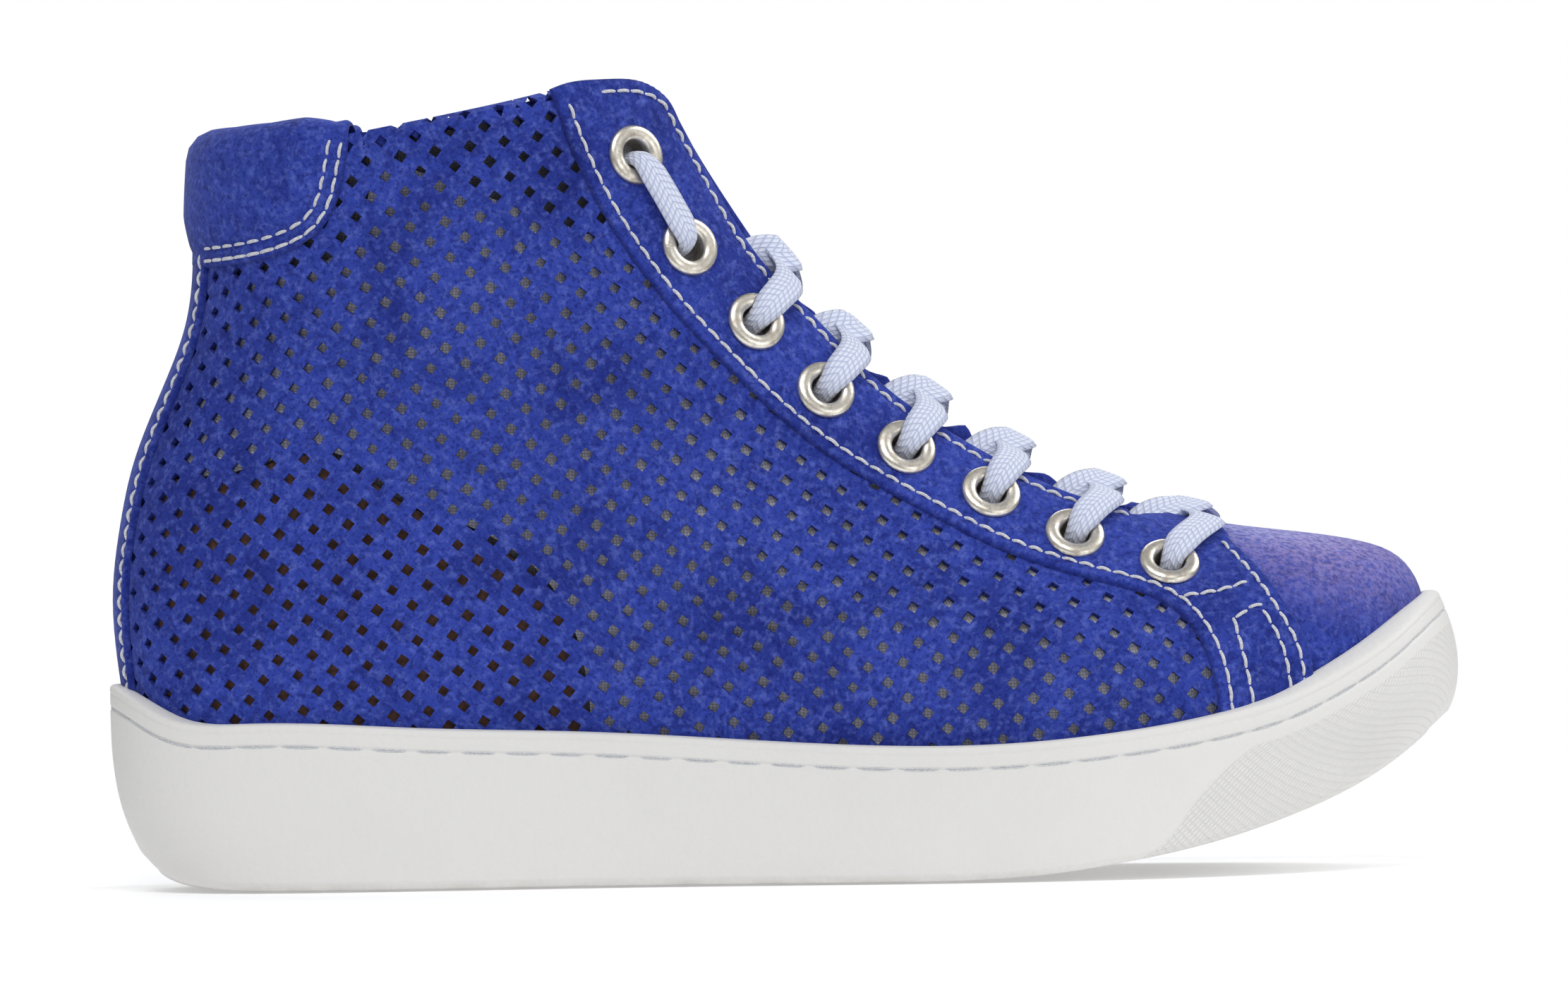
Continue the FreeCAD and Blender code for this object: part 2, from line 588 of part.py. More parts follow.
def washer(point, out):
    """The plain ring that the barrel is spread against inside the shoe."""
    outer, inner = WASHER_R, EYELET_BARREL_R + 0.05
    low, high = WASHER_SEAT - 0.6, WASHER_SEAT
    return lathe([(inner, low), (outer, low + 0.1), (outer, high - 0.1), (inner, high)], point, out)


# ---- the lace ------------------------------------------------------------------------------------
LACE_INSIDE = WASHER_SEAT - 1.4 - LACE_R      # depth of the lace where it runs under an eyestay
LACE_OUTSIDE = FLANGE_SEAT + FLANGE_RISE + LACE_R + 1.3
LACE_BOW = 1.0                                # bulge of a run that follows the tongue's curve
BAR_ROW = 0.40                                # row where the lace passes between the lowest eyelets
CROSS_UNDER, CROSS_OVER = 0.4, 3.7            # height over the skin's ridge where two runs cross
LACE_BEND = 2.6                               # longest stretch that a bend takes from each of its runs
# Arc distance from the ridge to the free edge of an eyestay, by row.
THROAT_GAP = [(0.32, 17.0), (0.46, 17.0), (0.52, 15.8), (0.59, 14.3), (0.66, 11.8), (0.77, 10.6),
              (0.84, 12.0)]


def ridge_point(v, sideways, rise):
    """A point over the throat: on row v, a little off the middle, and a rise above the skin."""
    point, out = skin_frame(1.0 + ridge_reach(sideways, v), v)
    return point + out * rise


def crossing(upper, lower, over):
    """Route from the inside end of an upper eyelet, out through the throat, to a lower one's outside end."""
    (up_point, up_out, up_v, sign), (low_point, low_out, low_v, _) = upper, lower
    rise = CROSS_OVER if over else CROSS_UNDER
    tuck_v, middle_v, lip_v = mix(up_v, low_v, 0.30), mix(up_v, low_v, 0.5), mix(up_v, low_v, 0.72)
    gap = natural_spline(*columns(THROAT_GAP))
    start = up_point + up_out * LACE_INSIDE
    tuck = ridge_point(tuck_v, sign * (gap(tuck_v) - 3.2), LACE_INSIDE)
    return [start, (start + tuck) / 2.0 + up_out * LACE_BOW, tuck,
            ridge_point(middle_v, sign * 3.5, rise),
            ridge_point(middle_v, -sign * 3.5, rise),
            ridge_point(lip_v, -sign * gap(lip_v), LACE_OUTSIDE + 0.1),
            low_point + low_out * LACE_OUTSIDE]


def rounded_path(points):
    """Straight runs joined by tangent arcs."""
    edges, start = [], points[0]
    for before, corner, after in zip(points, points[1:], points[2:]):
        back, ahead = (before - corner), (after - corner)
        reach = min(0.45 * min(back.Length, ahead.Length), LACE_BEND)
        back.normalize()
        ahead.normalize()
        if back.getAngle(ahead) > math.radians(178.0):
            continue
        first, last = corner + back * reach, corner + ahead * reach
        half = back.getAngle(ahead) / 2.0
        toward = (back + ahead).normalize()
        radius = reach * math.tan(half)
        middle = corner + toward * (radius / math.sin(half) - radius)
        edges.append(Part.LineSegment(start, first).toShape())
        edges.append(Part.Arc(first, middle, last).toShape())
        start = last
    edges.append(Part.LineSegment(start, points[-1]).toShape())
    return Part.Wire(edges)


def tube(points, radius):
    path = rounded_path(points)
    heading = points[1] - points[0]
    section = Part.Wire(Part.makeCircle(radius, points[0], heading))
    body = path.makePipeShell([section], True, False)
    expected = math.pi * radius ** 2 * path.Length
    print(f"  lace run {path.Length:.0f} mm, {body.Volume / expected:.3f} of its section times its length")
    return body


def lace_stations():
    """Eyelet centres with their directions, rows and sides, lateral then medial, from the top down."""
    found = []
    for medial in (False, True):
        column = []
        for station, height in EYELET_LINE:
            u, v = on_skin(station, height, medial)
            point, out = skin_frame(u, v)
            column.append((point, out, v, 1.0 if medial else -1.0))
        found.append(column)
    return found


def lace_half(first_side, ends_over):
    """One half of the lace: tucked end, down the outside of the top pair, then side to side to the last."""
    stations = lace_stations()
    side = first_side
    top, second = stations[side][0], stations[side][1]
    hang = tucked_end(top)
    route = hang + [top[0] + top[1] * LACE_INSIDE, top[0] + top[1] * LACE_OUTSIDE,
                    second[0] + second[1] * LACE_OUTSIDE]
    upper = second
    for row in range(2, len(EYELET_LINE)):
        side = 1 - side
        lower = stations[side][row]
        over = ends_over == (side == 0)
        route += crossing(upper, lower, over)
        upper = lower
    route.append(upper[0] + upper[1] * LACE_INSIDE)
    return route


END_DROP = [(2.0, -13.0, 11.5), (-4.0, -30.0, 13.5), (-10.0, -52.0, 15.0), (-13.0, -76.0, 16.5)]


def tucked_end(top):
    """The loose end inside the shaft: down beside the tongue, a little clear of the lining."""
    route = []
    for along, down, inward in reversed(END_DROP):
        station = top[0].x + along
        u, v = on_skin(station + LENGTH / 2.0, top[0].z + down, top[3] > 0)
        point, out = skin_frame(u, v)
        route.append(point - out * (inward - 4.5))
    return route


def make_lace():
    """The whole lace: both halves, joined by the bar under the lowest pair of eyelets."""
    lateral = lace_half(0, False)
    medial = lace_half(1, True)
    bar = [ridge_point(BAR_ROW, sideways, LACE_INSIDE) for sideways in (-17.0, -7.0, 7.0, 17.0)]
    if lateral[-1].y > 0:
        bar.reverse()
    return tube(lateral + bar + list(reversed(medial)), LACE_R)


def aglet(tip, neck):
    """The hard sleeve on an end of the lace."""
    away = (tip - neck).normalize()
    return Part.makeCylinder(LACE_R + 0.3, 18.0, tip + away * 0.05, away)


# ---- build ---------------------------------------------------------------------------------------
def main():
    export("cupsole", make_cupsole())
    export("midsole_wedge", make_wedge())
    export("shank", shank_body(0.0))
    export("insole_board", make_board())
    export("sockliner", make_sockliner())
    for name, side in (("lateral", LATERAL), ("medial", MEDIAL)):
        medial = side == MEDIAL
        export("quarter_" + name, make_quarter(side))
        export("quarter_backing_" + name, make_quarter_backing(side))
        export("eyestay_" + name, make_eyestay(side))
        export("eyestay_stiffener_" + name, make_stay_stiffener(side))
        export("eyelets_" + name, Part.makeCompound([eyelet(*spot) for spot in eyelet_places(medial)]))
        export("eyelet_washers_" + name, Part.makeCompound([washer(*spot) for spot in eyelet_places(medial)]))
    export("vamp", make_vamp())
    export("vamp_lining", make_vamp_lining())
    export("toe_puff", make_toe_puff())
    export("backstay", make_backstay())
    export("heel_collar", make_collar())
    export("collar_foam", make_collar_foam())
    export("heel_counter", make_heel_counter())
    export("quarter_lining", make_quarter_lining())
    export("tongue", make_tongue_layer(TONGUE_LAYER, 0.0))
    export("tongue_foam", make_tongue_layer(TONGUE_FOAM_LAYER, 2.5))
    export("tongue_lining", make_tongue_layer(TONGUE_LINING_LAYER, 0.6))
    export("lace", make_lace())
    ends = [tucked_end(column[0])[:2] for column in lace_stations()]
    export("aglets", Part.makeCompound([aglet(tip, neck) for tip, neck in ends]))


main()
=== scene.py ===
# %% [markdown]
# # A suede high top on a stitched cupsole
# This lesson dresses a finished mechanical model of a lace-up shoe. The model says where every piece
# sits and what moves; here each piece gets its real surface: napped suede, punched holes, sewn rows,
# rolled eyelets, braided laces and a grained rubber sole. The model is loaded first and never moved.

# %% Load the frame
import bmesh
import bpy
import math
import numpy as np
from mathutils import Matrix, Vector
from mathutils.geometry import delaunay_2d_cdt


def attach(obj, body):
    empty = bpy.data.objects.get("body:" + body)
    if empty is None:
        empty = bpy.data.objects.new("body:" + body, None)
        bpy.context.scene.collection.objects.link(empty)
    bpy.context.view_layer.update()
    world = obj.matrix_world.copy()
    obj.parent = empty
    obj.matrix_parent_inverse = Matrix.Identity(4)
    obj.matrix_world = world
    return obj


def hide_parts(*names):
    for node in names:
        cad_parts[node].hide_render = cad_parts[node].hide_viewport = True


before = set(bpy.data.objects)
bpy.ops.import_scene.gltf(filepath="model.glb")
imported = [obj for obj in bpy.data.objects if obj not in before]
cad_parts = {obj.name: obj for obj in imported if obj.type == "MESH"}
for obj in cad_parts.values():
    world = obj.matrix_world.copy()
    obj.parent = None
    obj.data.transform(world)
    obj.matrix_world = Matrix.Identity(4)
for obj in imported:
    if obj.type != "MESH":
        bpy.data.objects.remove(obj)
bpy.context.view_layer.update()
MM = 0.001

# %% [markdown]
# ## One skin for every sheet
# A shoemaker stretches flat leather over a wooden last, so all pieces share one smooth shape. A mesh
# could be modelled by hand and the others shrink-wrapped to it, but a formula is exact and lets any piece
# be placed at any depth. `u` runs round the foot in half turns (0 heel, 1 toe, 2 heel again, outer side
# first) and `v` climbs from the footbed (0) to above the ankle (1). Heights and stations are millimetres.

# %% Smooth curves through a few values
def spline_weights(knots, x):
    """Weights that turn the values at the knots into a natural cubic spline's value at each x."""
    knots, x = np.asarray(knots, float), np.asarray(x, float)
    count, gap = len(knots), np.diff(knots)
    system, slopes = np.zeros((count, count)), np.zeros((count, count))
    system[0, 0] = system[-1, -1] = 1.0
    for i in range(1, count - 1):
        system[i, i - 1:i + 2] = gap[i - 1], 2.0 * (gap[i - 1] + gap[i]), gap[i]
        slopes[i, i - 1:i + 2] = 6.0 / gap[i - 1], -6.0 / gap[i - 1] - 6.0 / gap[i], 6.0 / gap[i]
    bends = np.linalg.solve(system, slopes)
    i = np.clip(np.searchsorted(knots, x) - 1, 0, count - 2)
    a = ((knots[i + 1] - x) / gap[i])[..., None]
    b = 1.0 - a
    one = np.eye(count)
    bending = (a**3 - a) * bends[i] + (b**3 - b) * bends[i + 1]
    return a * one[i] + b * one[i + 1] + bending * (gap[i] ** 2 / 6.0)[..., None]


def curve_of(rows):
    """A function through rows of (knot, value, value, ...)."""
    rows = np.asarray(rows, float)
    return lambda x: np.squeeze(spline_weights(rows[:, 0], x) @ rows[:, 1:])


# %% The last's own lines
LENGTH, SIDE_SHIFT = 276.0, 1.6
HEEL_BED, TOE_BED = 27.0, 33.0      # heights of the footbed's two ends
BACK_OF_BED, FRONT_OF_BED = 6.5, 265.0
heel_line = curve_of([(0.0, BACK_OF_BED, HEEL_BED), (0.12, 3.4, 44.0), (0.25, 2.2, 60.0), (0.38, 4.0, 75.0),
                      (0.50, 7.8, 89.0), (0.60, 13.0, 101.5), (0.69, 18.0, 114.0), (0.78, 20.0, 127.0),
                      (0.88, 20.5, 141.0), (1.0, 21.5, 158.0)])
front_line = curve_of([(0.0, FRONT_OF_BED, TOE_BED), (0.06, 268.6, 45.0), (0.11, 269.0, 54.0),
                       (0.16, 265.5, 61.5),
                       (0.22, 257.5, 66.0), (0.30, 241.0, 69.0), (0.38, 221.5, 72.0), (0.48, 193.5, 82.0),
                       (0.60, 162.0, 101.5), (0.72, 135.0, 129.0), (0.84, 120.5, 156.0), (1.0, 110.0, 184.0)])
bed_line = curve_of([(0.0, HEEL_BED), (0.15, 26.5), (0.30, 24.0), (0.45, 18.5), (0.60, 13.5), (0.72, 12.0),
                     (0.82, 14.5), (0.91, 21.0), (1.0, TOE_BED)])
WIDTH_SHARES = [0.0, 0.2, 0.4, 0.6, 0.8, 1.0]
WIDTH_ROWS = [0.0, 0.18, 0.38, 0.60, 0.80, 1.0]
WIDTHS = np.array([[33.0, 30.5, 29.0, 38.0, 44.0, 37.5], [31.0, 31.0, 30.5, 37.5, 42.5, 36.0],
                   [28.0, 30.5, 31.5, 34.0, 35.5, 33.0], [24.5, 29.0, 31.0, 31.0, 29.0, 27.0],
                   [27.0, 31.0, 33.0, 33.0, 30.5, 27.0], [29.0, 33.0, 35.0, 34.5, 31.5, 27.0]])
fullness_of = curve_of([(0.0, 2.8), (0.38, 2.2), (0.60, 1.6), (0.80, 0.8), (1.0, 0.4)])
swing = curve_of([(0.0, 0.0), (100.0, -2.0), (185.0, -1.5), (235.0, 2.5), (276.0, 7.5)])


# %% The skin
def side_view(u, v):
    """Station and height of the skin."""
    share = (1.0 - np.cos(np.pi * u)) / 2.0
    heel, front = heel_line(v), front_line(v)
    flat = heel[..., 1] * (1 - share) + front[..., 1] * share
    dip = bed_line(share) - (HEEL_BED * (1 - share) + TOE_BED * share)
    return heel[..., 0] * (1 - share) + front[..., 0] * share, flat + (1.0 - v) * dip


def in_frame(station, sideways, height):
    return np.stack([station - LENGTH / 2.0, sideways + SIDE_SHIFT, height], -1)


def skin(u, v):
    u, v = np.broadcast_arrays(np.atleast_1d(np.asarray(u, float)), np.atleast_1d(np.asarray(v, float)))
    station, height = side_view(u, v)
    share = (1.0 - np.cos(np.pi * u)) / 2.0
    width = np.sum((spline_weights(WIDTH_ROWS, v) @ WIDTHS) * spline_weights(WIDTH_SHARES, share), -1)
    turn, full = np.sin(np.pi * u), fullness_of(v)
    side = width * turn * np.sqrt(1.0 + full) / np.sqrt(1.0 + full * turn * turn)
    return in_frame(station, swing(station) * (1.0 - v) - side, height)


def slopes_of_skin(u, v, step=0.002):
    along = (skin(u + step, v) - skin(u - step, v)) / (2 * step)
    up = (skin(u, v + step) - skin(u, v - step)) / (2 * step)
    return along, up


def unit(vectors):
    return vectors / np.maximum(np.linalg.norm(vectors, axis=-1, keepdims=True), 1e-12)


def ripple(points):
    """The slight unevenness of lasted leather, the same for every layer so that none breaks through."""
    x, y, z = points[..., 0], points[..., 1], points[..., 2]
    return 0.16 * np.sin(x / 9.1 + 1.1 * np.sin(z / 13.0)) * np.sin(z / 8.3 + 0.6 + y / 21.0) + 0.13 * np.sin(
        x / 17.0 - z / 11.0 + 0.9 * np.sin(x / 23.0 + y / 9.0))


def lasted(u, v, depth):
    """Points at a depth over the skin, in millimetres."""
    base = skin(u, v)
    along, up = slopes_of_skin(u, v)
    depth = np.broadcast_to(depth, base.shape[:-1])
    return base + unit(np.cross(along, up)) * (depth + ripple(base))[..., None]


def outward(u, v):
    along, up = slopes_of_skin(u, v)
    return unit(np.cross(along, up))


def under(station, height, medial=False):
    """(u, v) of the skin behind points of the side view."""
    station, height = np.asarray(station, float), np.asarray(height, float)
    low, high = np.full(station.shape, -0.05), np.full(station.shape, 1.05)
    for _ in range(32):
        v = (low + high) / 2.0
        share = np.clip((station - heel_line(v)[..., 0]) / (front_line(v)[..., 0] - heel_line(v)[..., 0]),
                        0.0, 1.0)
        u = np.arccos(1.0 - 2.0 * share) / np.pi
        below = side_view(u, v)[1] < height
        low, high = np.where(below, v, low), np.where(below, high, v)
    return np.stack([2.0 - u if medial else u, v], -1)


quarter_points = np.array([vertex.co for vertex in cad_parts["quarter_lateral"].data.vertices]) / MM
print("skin from", skin(0.0, 0.5)[0].round(1), "to", skin(1.0, 0.2)[0].round(1),
      "and the model's quarter reaches", quarter_points.min(0).round(1), quarter_points.max(0).round(1))

# %% [markdown]
# ## Cutting patterns
# A paper pattern is the skin rolled flat, so arc lengths along one row and one column make its two axes.
# Outlines are drawn as smooth curves in the side view, carried onto the skin and then to the pattern.

# %% The flat pattern
row_u = np.linspace(-1.0, 2.0, 1501)
row_steps = np.linalg.norm(np.diff(skin(row_u, 0.42), axis=0), axis=1)
row_mm = np.concatenate([[0.0], np.cumsum(row_steps)])
row_mm -= np.interp(0.0, row_u, row_mm)
column_v = np.linspace(-0.2, 1.2, 281)
column_mm = np.concatenate([[0.0], np.cumsum(np.linalg.norm(np.diff(skin(0.5, column_v), axis=0), axis=1))])
column_mm -= np.interp(0.0, column_v, column_mm)
pattern_height = np.interp(1, column_v, column_mm)
print(f"the pattern is {row_mm[-1] - row_mm[0]:.0f} mm round and {pattern_height:.0f} mm high")


def to_pattern(uv):
    return np.stack([np.interp(uv[:, 0], row_u, row_mm), np.interp(uv[:, 1], column_v, column_mm)], -1)


def from_pattern(flat):
    return np.stack([np.interp(flat[:, 0], row_mm, row_u), np.interp(flat[:, 1], column_mm, column_v)], -1)


# %% Curves on the skin
def smooth_run(points, spacing=1.2):
    """A smooth curve through points of the side view, as many points a spacing apart."""
    points = np.asarray(points, float)
    reach = np.concatenate([[0.0], np.cumsum(np.linalg.norm(np.diff(points, axis=0), axis=1))])
    count = max(2, int(reach[-1] / spacing) + 1)
    at = np.linspace(0.0, reach[-1], count)
    if len(points) == 2:
        return points[0] + (points[1] - points[0]) * (at / reach[-1])[:, None]
    return spline_weights(reach, at) @ points


def shift(points, dx, dz):
    return [(x + dx, z + dz) for x, z in points]


def on_side(line, medial=False):
    line = np.asarray(line, float)
    return under(line[:, 0], line[:, 1], medial)


# %% [markdown]
# ## From pattern to leather
# Each piece is cut from its outline by a constrained triangulation: rings of points just inside the cut
# round its edge, extra points follow the seams so that thread can pull a groove, and a plain lattice fills
# the rest. The flat net is then lifted onto the skin twice, for the grain side and the flesh side, and
# walled round. A Solidify modifier would give square edges and couldn't sink the seams.

# %% Distances
def nearest(points, line, closed=False, block=1500):
    """The distance from each point to a polyline."""
    start = line if closed else line[:-1]
    run = (np.roll(line, -1, axis=0) if closed else line[1:]) - start
    length = np.maximum((run**2).sum(1), 1e-12)
    found = np.empty(len(points))
    for at in range(0, len(points), block):
        gap = points[at:at + block, None, :] - start
        along = np.clip((gap * run).sum(2) / length, 0.0, 1.0)
        found[at:at + block] = np.sqrt(((gap - along[..., None] * run) ** 2).sum(2).min(1))
    return found


def inside(points, outline):
    """Which flat points a closed outline holds."""
    a, b = outline, np.roll(outline, -1, axis=0)
    x, y = points[:, 0, None], points[:, 1, None]
    crosses = (a[:, 1] > y) != (b[:, 1] > y)
    rise = np.where(np.abs(b[:, 1] - a[:, 1]) < 1e-12, 1e-12, b[:, 1] - a[:, 1])
    return (crosses & (x < (b[:, 0] - a[:, 0]) * (y - a[:, 1]) / rise + a[:, 0])).sum(1) % 2 == 1


def stepped_in(uv, distance, closed=True):
    """Points moved sideways off a line over the skin, to its left."""
    points = skin(uv[:, 0], uv[:, 1])
    ahead = np.roll(points, -1, axis=0) - np.roll(points, 1, axis=0)
    if not closed:
        ahead[0], ahead[-1] = points[1] - points[0], points[-1] - points[-2]
    aside = unit(np.cross(outward(uv[:, 0], uv[:, 1]), unit(ahead))) * distance
    along, up = slopes_of_skin(uv[:, 0], uv[:, 1])
    aa, ab, bb = (along * along).sum(1), (along * up).sum(1), (up * up).sum(1)
    pa, pb = (along * aside).sum(1), (up * aside).sum(1)
    scale = aa * bb - ab * ab
    return uv + np.stack([(bb * pa - ab * pb) / scale, (aa * pb - ab * pa) / scale], -1)


# %% The cutter
EDGE_RINGS = (0.13, 0.5, 1.0)               # rings of points inside a cut edge, in shares of its rounding
SEAM_RUNS = (-1.1, -0.5, 0.0, 0.5, 1.1)     # runs of points beside a seam, in millimetres


def signed_area(flat):
    a, b = flat, np.roll(flat, -1, axis=0)
    return 0.5 * np.sum(a[:, 0] * b[:, 1] - b[:, 0] * a[:, 1])


def cut_sheet(name, outline, top, bottom, rounding=0.9, holes=(), seams=(), dip=0.22, swell=None,
              turn_over=None, net=2.4):
    """Makes one leather piece. outline is (u, v) points; swell(edge distance, uv) thickens the grain side."""
    flat = to_pattern(outline)
    if signed_area(flat) < 0:
        outline, flat = outline[::-1], flat[::-1]
    rim = skin(outline[:, 0], outline[:, 1])
    extra = [stepped_in(outline, rounding * step) for step in EDGE_RINGS]
    for hole in holes:
        extra += [stepped_in(hole[::-1], rounding * step) for step in EDGE_RINGS]
    for seam in seams:
        extra += [stepped_in(seam, off, closed=False) for off in SEAM_RUNS]
    low, high = flat.min(0), flat.max(0)
    grid = np.stack(np.meshgrid(np.arange(low[0], high[0], net), np.arange(low[1], high[1], net * 0.87)), -1)
    grid[1::2, :, 0] += net / 2.0
    fill = from_pattern(grid.reshape(-1, 2))
    fill = fill[inside(to_pattern(fill), flat)]
    fill = fill[nearest(skin(fill[:, 0], fill[:, 1]), rim, closed=True) > rounding + 0.5]
    for line in seams:
        fill = fill[nearest(skin(fill[:, 0], fill[:, 1]), skin(line[:, 0], line[:, 1])) > 1.5]
    extra = np.concatenate(extra)
    extra = extra[inside(to_pattern(extra), flat)]
    extra = extra[nearest(skin(extra[:, 0], extra[:, 1]), rim, closed=True) > 0.08]
    loose = to_pattern(np.concatenate([extra, fill]))
    hole_flats = [to_pattern(hole) for hole in holes]
    for hole in hole_flats:
        loose = loose[~inside(loose, hole)]
    loops = [flat] + hole_flats
    edges, count = [], 0
    for loop in loops:
        edges += [(count + i, count + (i + 1) % len(loop)) for i in range(len(loop))]
        count += len(loop)
    net_points = np.concatenate(loops + [loose])
    result = delaunay_2d_cdt([Vector(p) for p in net_points], edges, [list(range(len(flat)))], 1, 1e-5)
    points = np.array([tuple(p) for p in result[0]])
    faces = np.array(result[2])
    corners = points[faces]
    turn = np.cross(corners[:, 1] - corners[:, 0], corners[:, 2] - corners[:, 0])
    faces[turn < 0] = faces[turn < 0][:, ::-1]
    faces = faces[np.abs(turn) > 1e-7]
    for hole in hole_flats:
        faces = faces[~inside(points[faces].mean(1), hole)]
    used, faces = np.unique(faces, return_inverse=True)
    points, faces = points[used], faces.reshape(-1, 3)
    uv = from_pattern(points)
    return lift_sheet(name, uv, faces, [rim] + [skin(h[:, 0], h[:, 1]) for h in holes], top, bottom,
                      rounding, [skin(s[:, 0], s[:, 1]) for s in seams], dip, swell, turn_over)


# %% Lifting the cut piece onto the last
def turned_over(uv, depth, fold):
    """Places points, rolling what lies above the fold line over to the inside round a radius."""
    fold_v, radius, crest = fold
    line = np.interp(uv[:, 0], fold_v[:, 0], fold_v[:, 1])
    over = np.maximum(uv[:, 1] - line, 0.0)
    up = slopes_of_skin(uv[:, 0], np.minimum(uv[:, 1], line))[1]
    travel = over * np.linalg.norm(up, axis=1)
    angle = np.minimum(travel / radius, np.pi)
    down = np.maximum(travel - np.pi * radius, 0.0) / np.linalg.norm(up, axis=1)
    base_v = np.where(over > 0, line - down, uv[:, 1])
    out, rise = outward(uv[:, 0], base_v), unit(up)
    reach = radius + depth - crest
    shift_out = np.where(over > 0, crest - radius + reach * np.cos(angle), depth)
    shift_up = np.where(over > 0, reach * np.sin(angle), 0.0)
    base = skin(uv[:, 0], base_v)
    return base + out * (shift_out + ripple(base))[:, None] + rise * shift_up[:, None]


def lift_sheet(name, uv, faces, rims, top, bottom, rounding, seams, dip, swell, fold):
    """Builds the grain and the flesh side over the net, with walls between them round every rim."""
    base = skin(uv[:, 0], uv[:, 1])
    edge = np.min([nearest(base, rim, closed=True) for rim in rims], axis=0)
    inset = np.clip(edge / rounding, 0.0, 1.0)
    depth = top - rounding * (1.0 - np.sqrt(1.0 - (1.0 - inset) ** 2))
    if swell:
        depth = depth + swell(edge, uv)
    for seam in seams:
        depth = depth - dip * np.exp(-((nearest(base, seam) / 0.75) ** 2))
    place = (lambda d: turned_over(uv, d, fold)) if fold else (lambda d: lasted(uv[:, 0], uv[:, 1], d))
    grain = place(np.maximum(depth, bottom + 0.1))
    flesh = place(np.full(len(uv), float(bottom)))
    count = len(uv)
    sides = np.concatenate([faces[:, [0, 1]], faces[:, [1, 2]], faces[:, [2, 0]]])
    keys = {(a, b) for a, b in sides.tolist()}
    rim_edges = [(a, b) for a, b in keys if (b, a) not in keys]
    walls = [(b, a, a + count, b + count) for a, b in rim_edges]
    polygons = faces.tolist() + (faces[:, ::-1] + count).tolist() + walls
    mesh = bpy.data.meshes.new(name)
    mesh.from_pydata((np.concatenate([grain, flesh]) * MM).tolist(), [], polygons)
    edges_mm = mesh.attributes.new("edge_mm", "FLOAT", "POINT")
    edges_mm.data.foreach_set("value", np.concatenate([edge, np.zeros(count)]).astype(np.float32))
    outer = mesh.attributes.new("grain_side", "BOOLEAN", "FACE")
    outer.data.foreach_set("value", np.arange(len(polygons)) < len(faces))
    laid = np.concatenate([laid_flat(uv), laid_flat(uv)]) * MM
    uv_map = mesh.uv_layers.new(name="laid")
    corner = np.zeros(len(mesh.loops), np.int32)
    mesh.loops.foreach_get("vertex_index", corner)
    uv_map.data.foreach_set("uv", laid[corner].astype(np.float32).ravel())
    mesh.polygons.foreach_set("use_smooth", np.ones(len(polygons), bool))
    mesh.set_sharp_from_angle(angle=math.radians(50))
    piece = bpy.data.objects.new(name, mesh)
    bpy.context.scene.collection.objects.link(piece)
    print(f"{name}: {len(polygons)} faces, {len(rim_edges)} round the edge")
    return piece


# %% Laying a piece flat
ROWS, COLUMNS = 45, 241
LOWEST_ROW, HIGHEST_ROW = -0.05, 1.05
rows_v = np.linspace(LOWEST_ROW, HIGHEST_ROW, ROWS)
net_u, net_v = np.meshgrid(np.linspace(0.0, 1.0, COLUMNS), rows_v)
row_points = skin(net_u.ravel(), net_v.ravel()).reshape(ROWS, COLUMNS, 3)
row_arcs = np.concatenate([np.zeros((ROWS, 1)),
                           np.cumsum(np.linalg.norm(np.diff(row_points, axis=1), axis=2), axis=1)], 1)
row_arcs += (side_view(0.5, rows_v)[0] - row_arcs[:, COLUMNS // 2])[:, None]


def laid_flat(uv):
    """Station and height with the curved ends of the shoe rolled out straight."""
    u = np.abs(uv[:, 0])
    u = np.where(u > 1.0, 2.0 - u, u)
    i = np.clip((uv[:, 1] - LOWEST_ROW) / (HIGHEST_ROW - LOWEST_ROW) * (ROWS - 1), 0, ROWS - 1.001)
    j = np.clip(u * (COLUMNS - 1), 0, COLUMNS - 1.001)
    i0, j0 = i.astype(int), j.astype(int)
    fi, fj = i - i0, j - j0
    arc = (row_arcs[i0, j0] * (1 - fi) * (1 - fj) + row_arcs[i0 + 1, j0] * fi * (1 - fj)
           + row_arcs[i0, j0 + 1] * (1 - fi) * fj + row_arcs[i0 + 1, j0 + 1] * fi * fj)
    return np.stack([arc, side_view(u, uv[:, 1])[1]], -1)

# %% [markdown]
# ## Building node trees
# A material or a Geometry Nodes tree is a list of small steps. This helper adds one step, sets its plain
# values and plugs sockets into it, so a whole tree reads from top to bottom.

# %% One node at a time
def add(tree, kind, values=None, **settings):
    node = tree.nodes.new(kind)
    for key, value in settings.items():
        setattr(node, key, value)
    for key, value in (values or {}).items():
        socket = node.inputs[key]
        if isinstance(value, bpy.types.NodeSocket):
            tree.links.new(value, socket)
        else:
            socket.default_value = value
    return node


def calc(tree, operation, *values, clamp=False):
    return add(tree, "ShaderNodeMath", dict(enumerate(values)), operation=operation,
               use_clamp=clamp).outputs[0]


def blend_colour(tree, share, first, second, mode="MIX"):
    return add(tree, "ShaderNodeMix", {0: share, 6: first, 7: second}, data_type="RGBA",
               blend_type=mode).outputs[2]


def band(tree, value, low, high, to_low=0.0, to_high=1.0):
    return add(tree, "ShaderNodeMapRange", {0: value, 1: low, 2: high, 3: to_low, 4: to_high}).outputs[0]


def noise(tree, where, scale, detail=2.0, rough=0.5, twist=0.0):
    return add(tree, "ShaderNodeTexNoise",
               {"Vector": where, "Scale": scale, "Detail": detail, "Roughness": rough,
                "Distortion": twist}).outputs["Fac"]


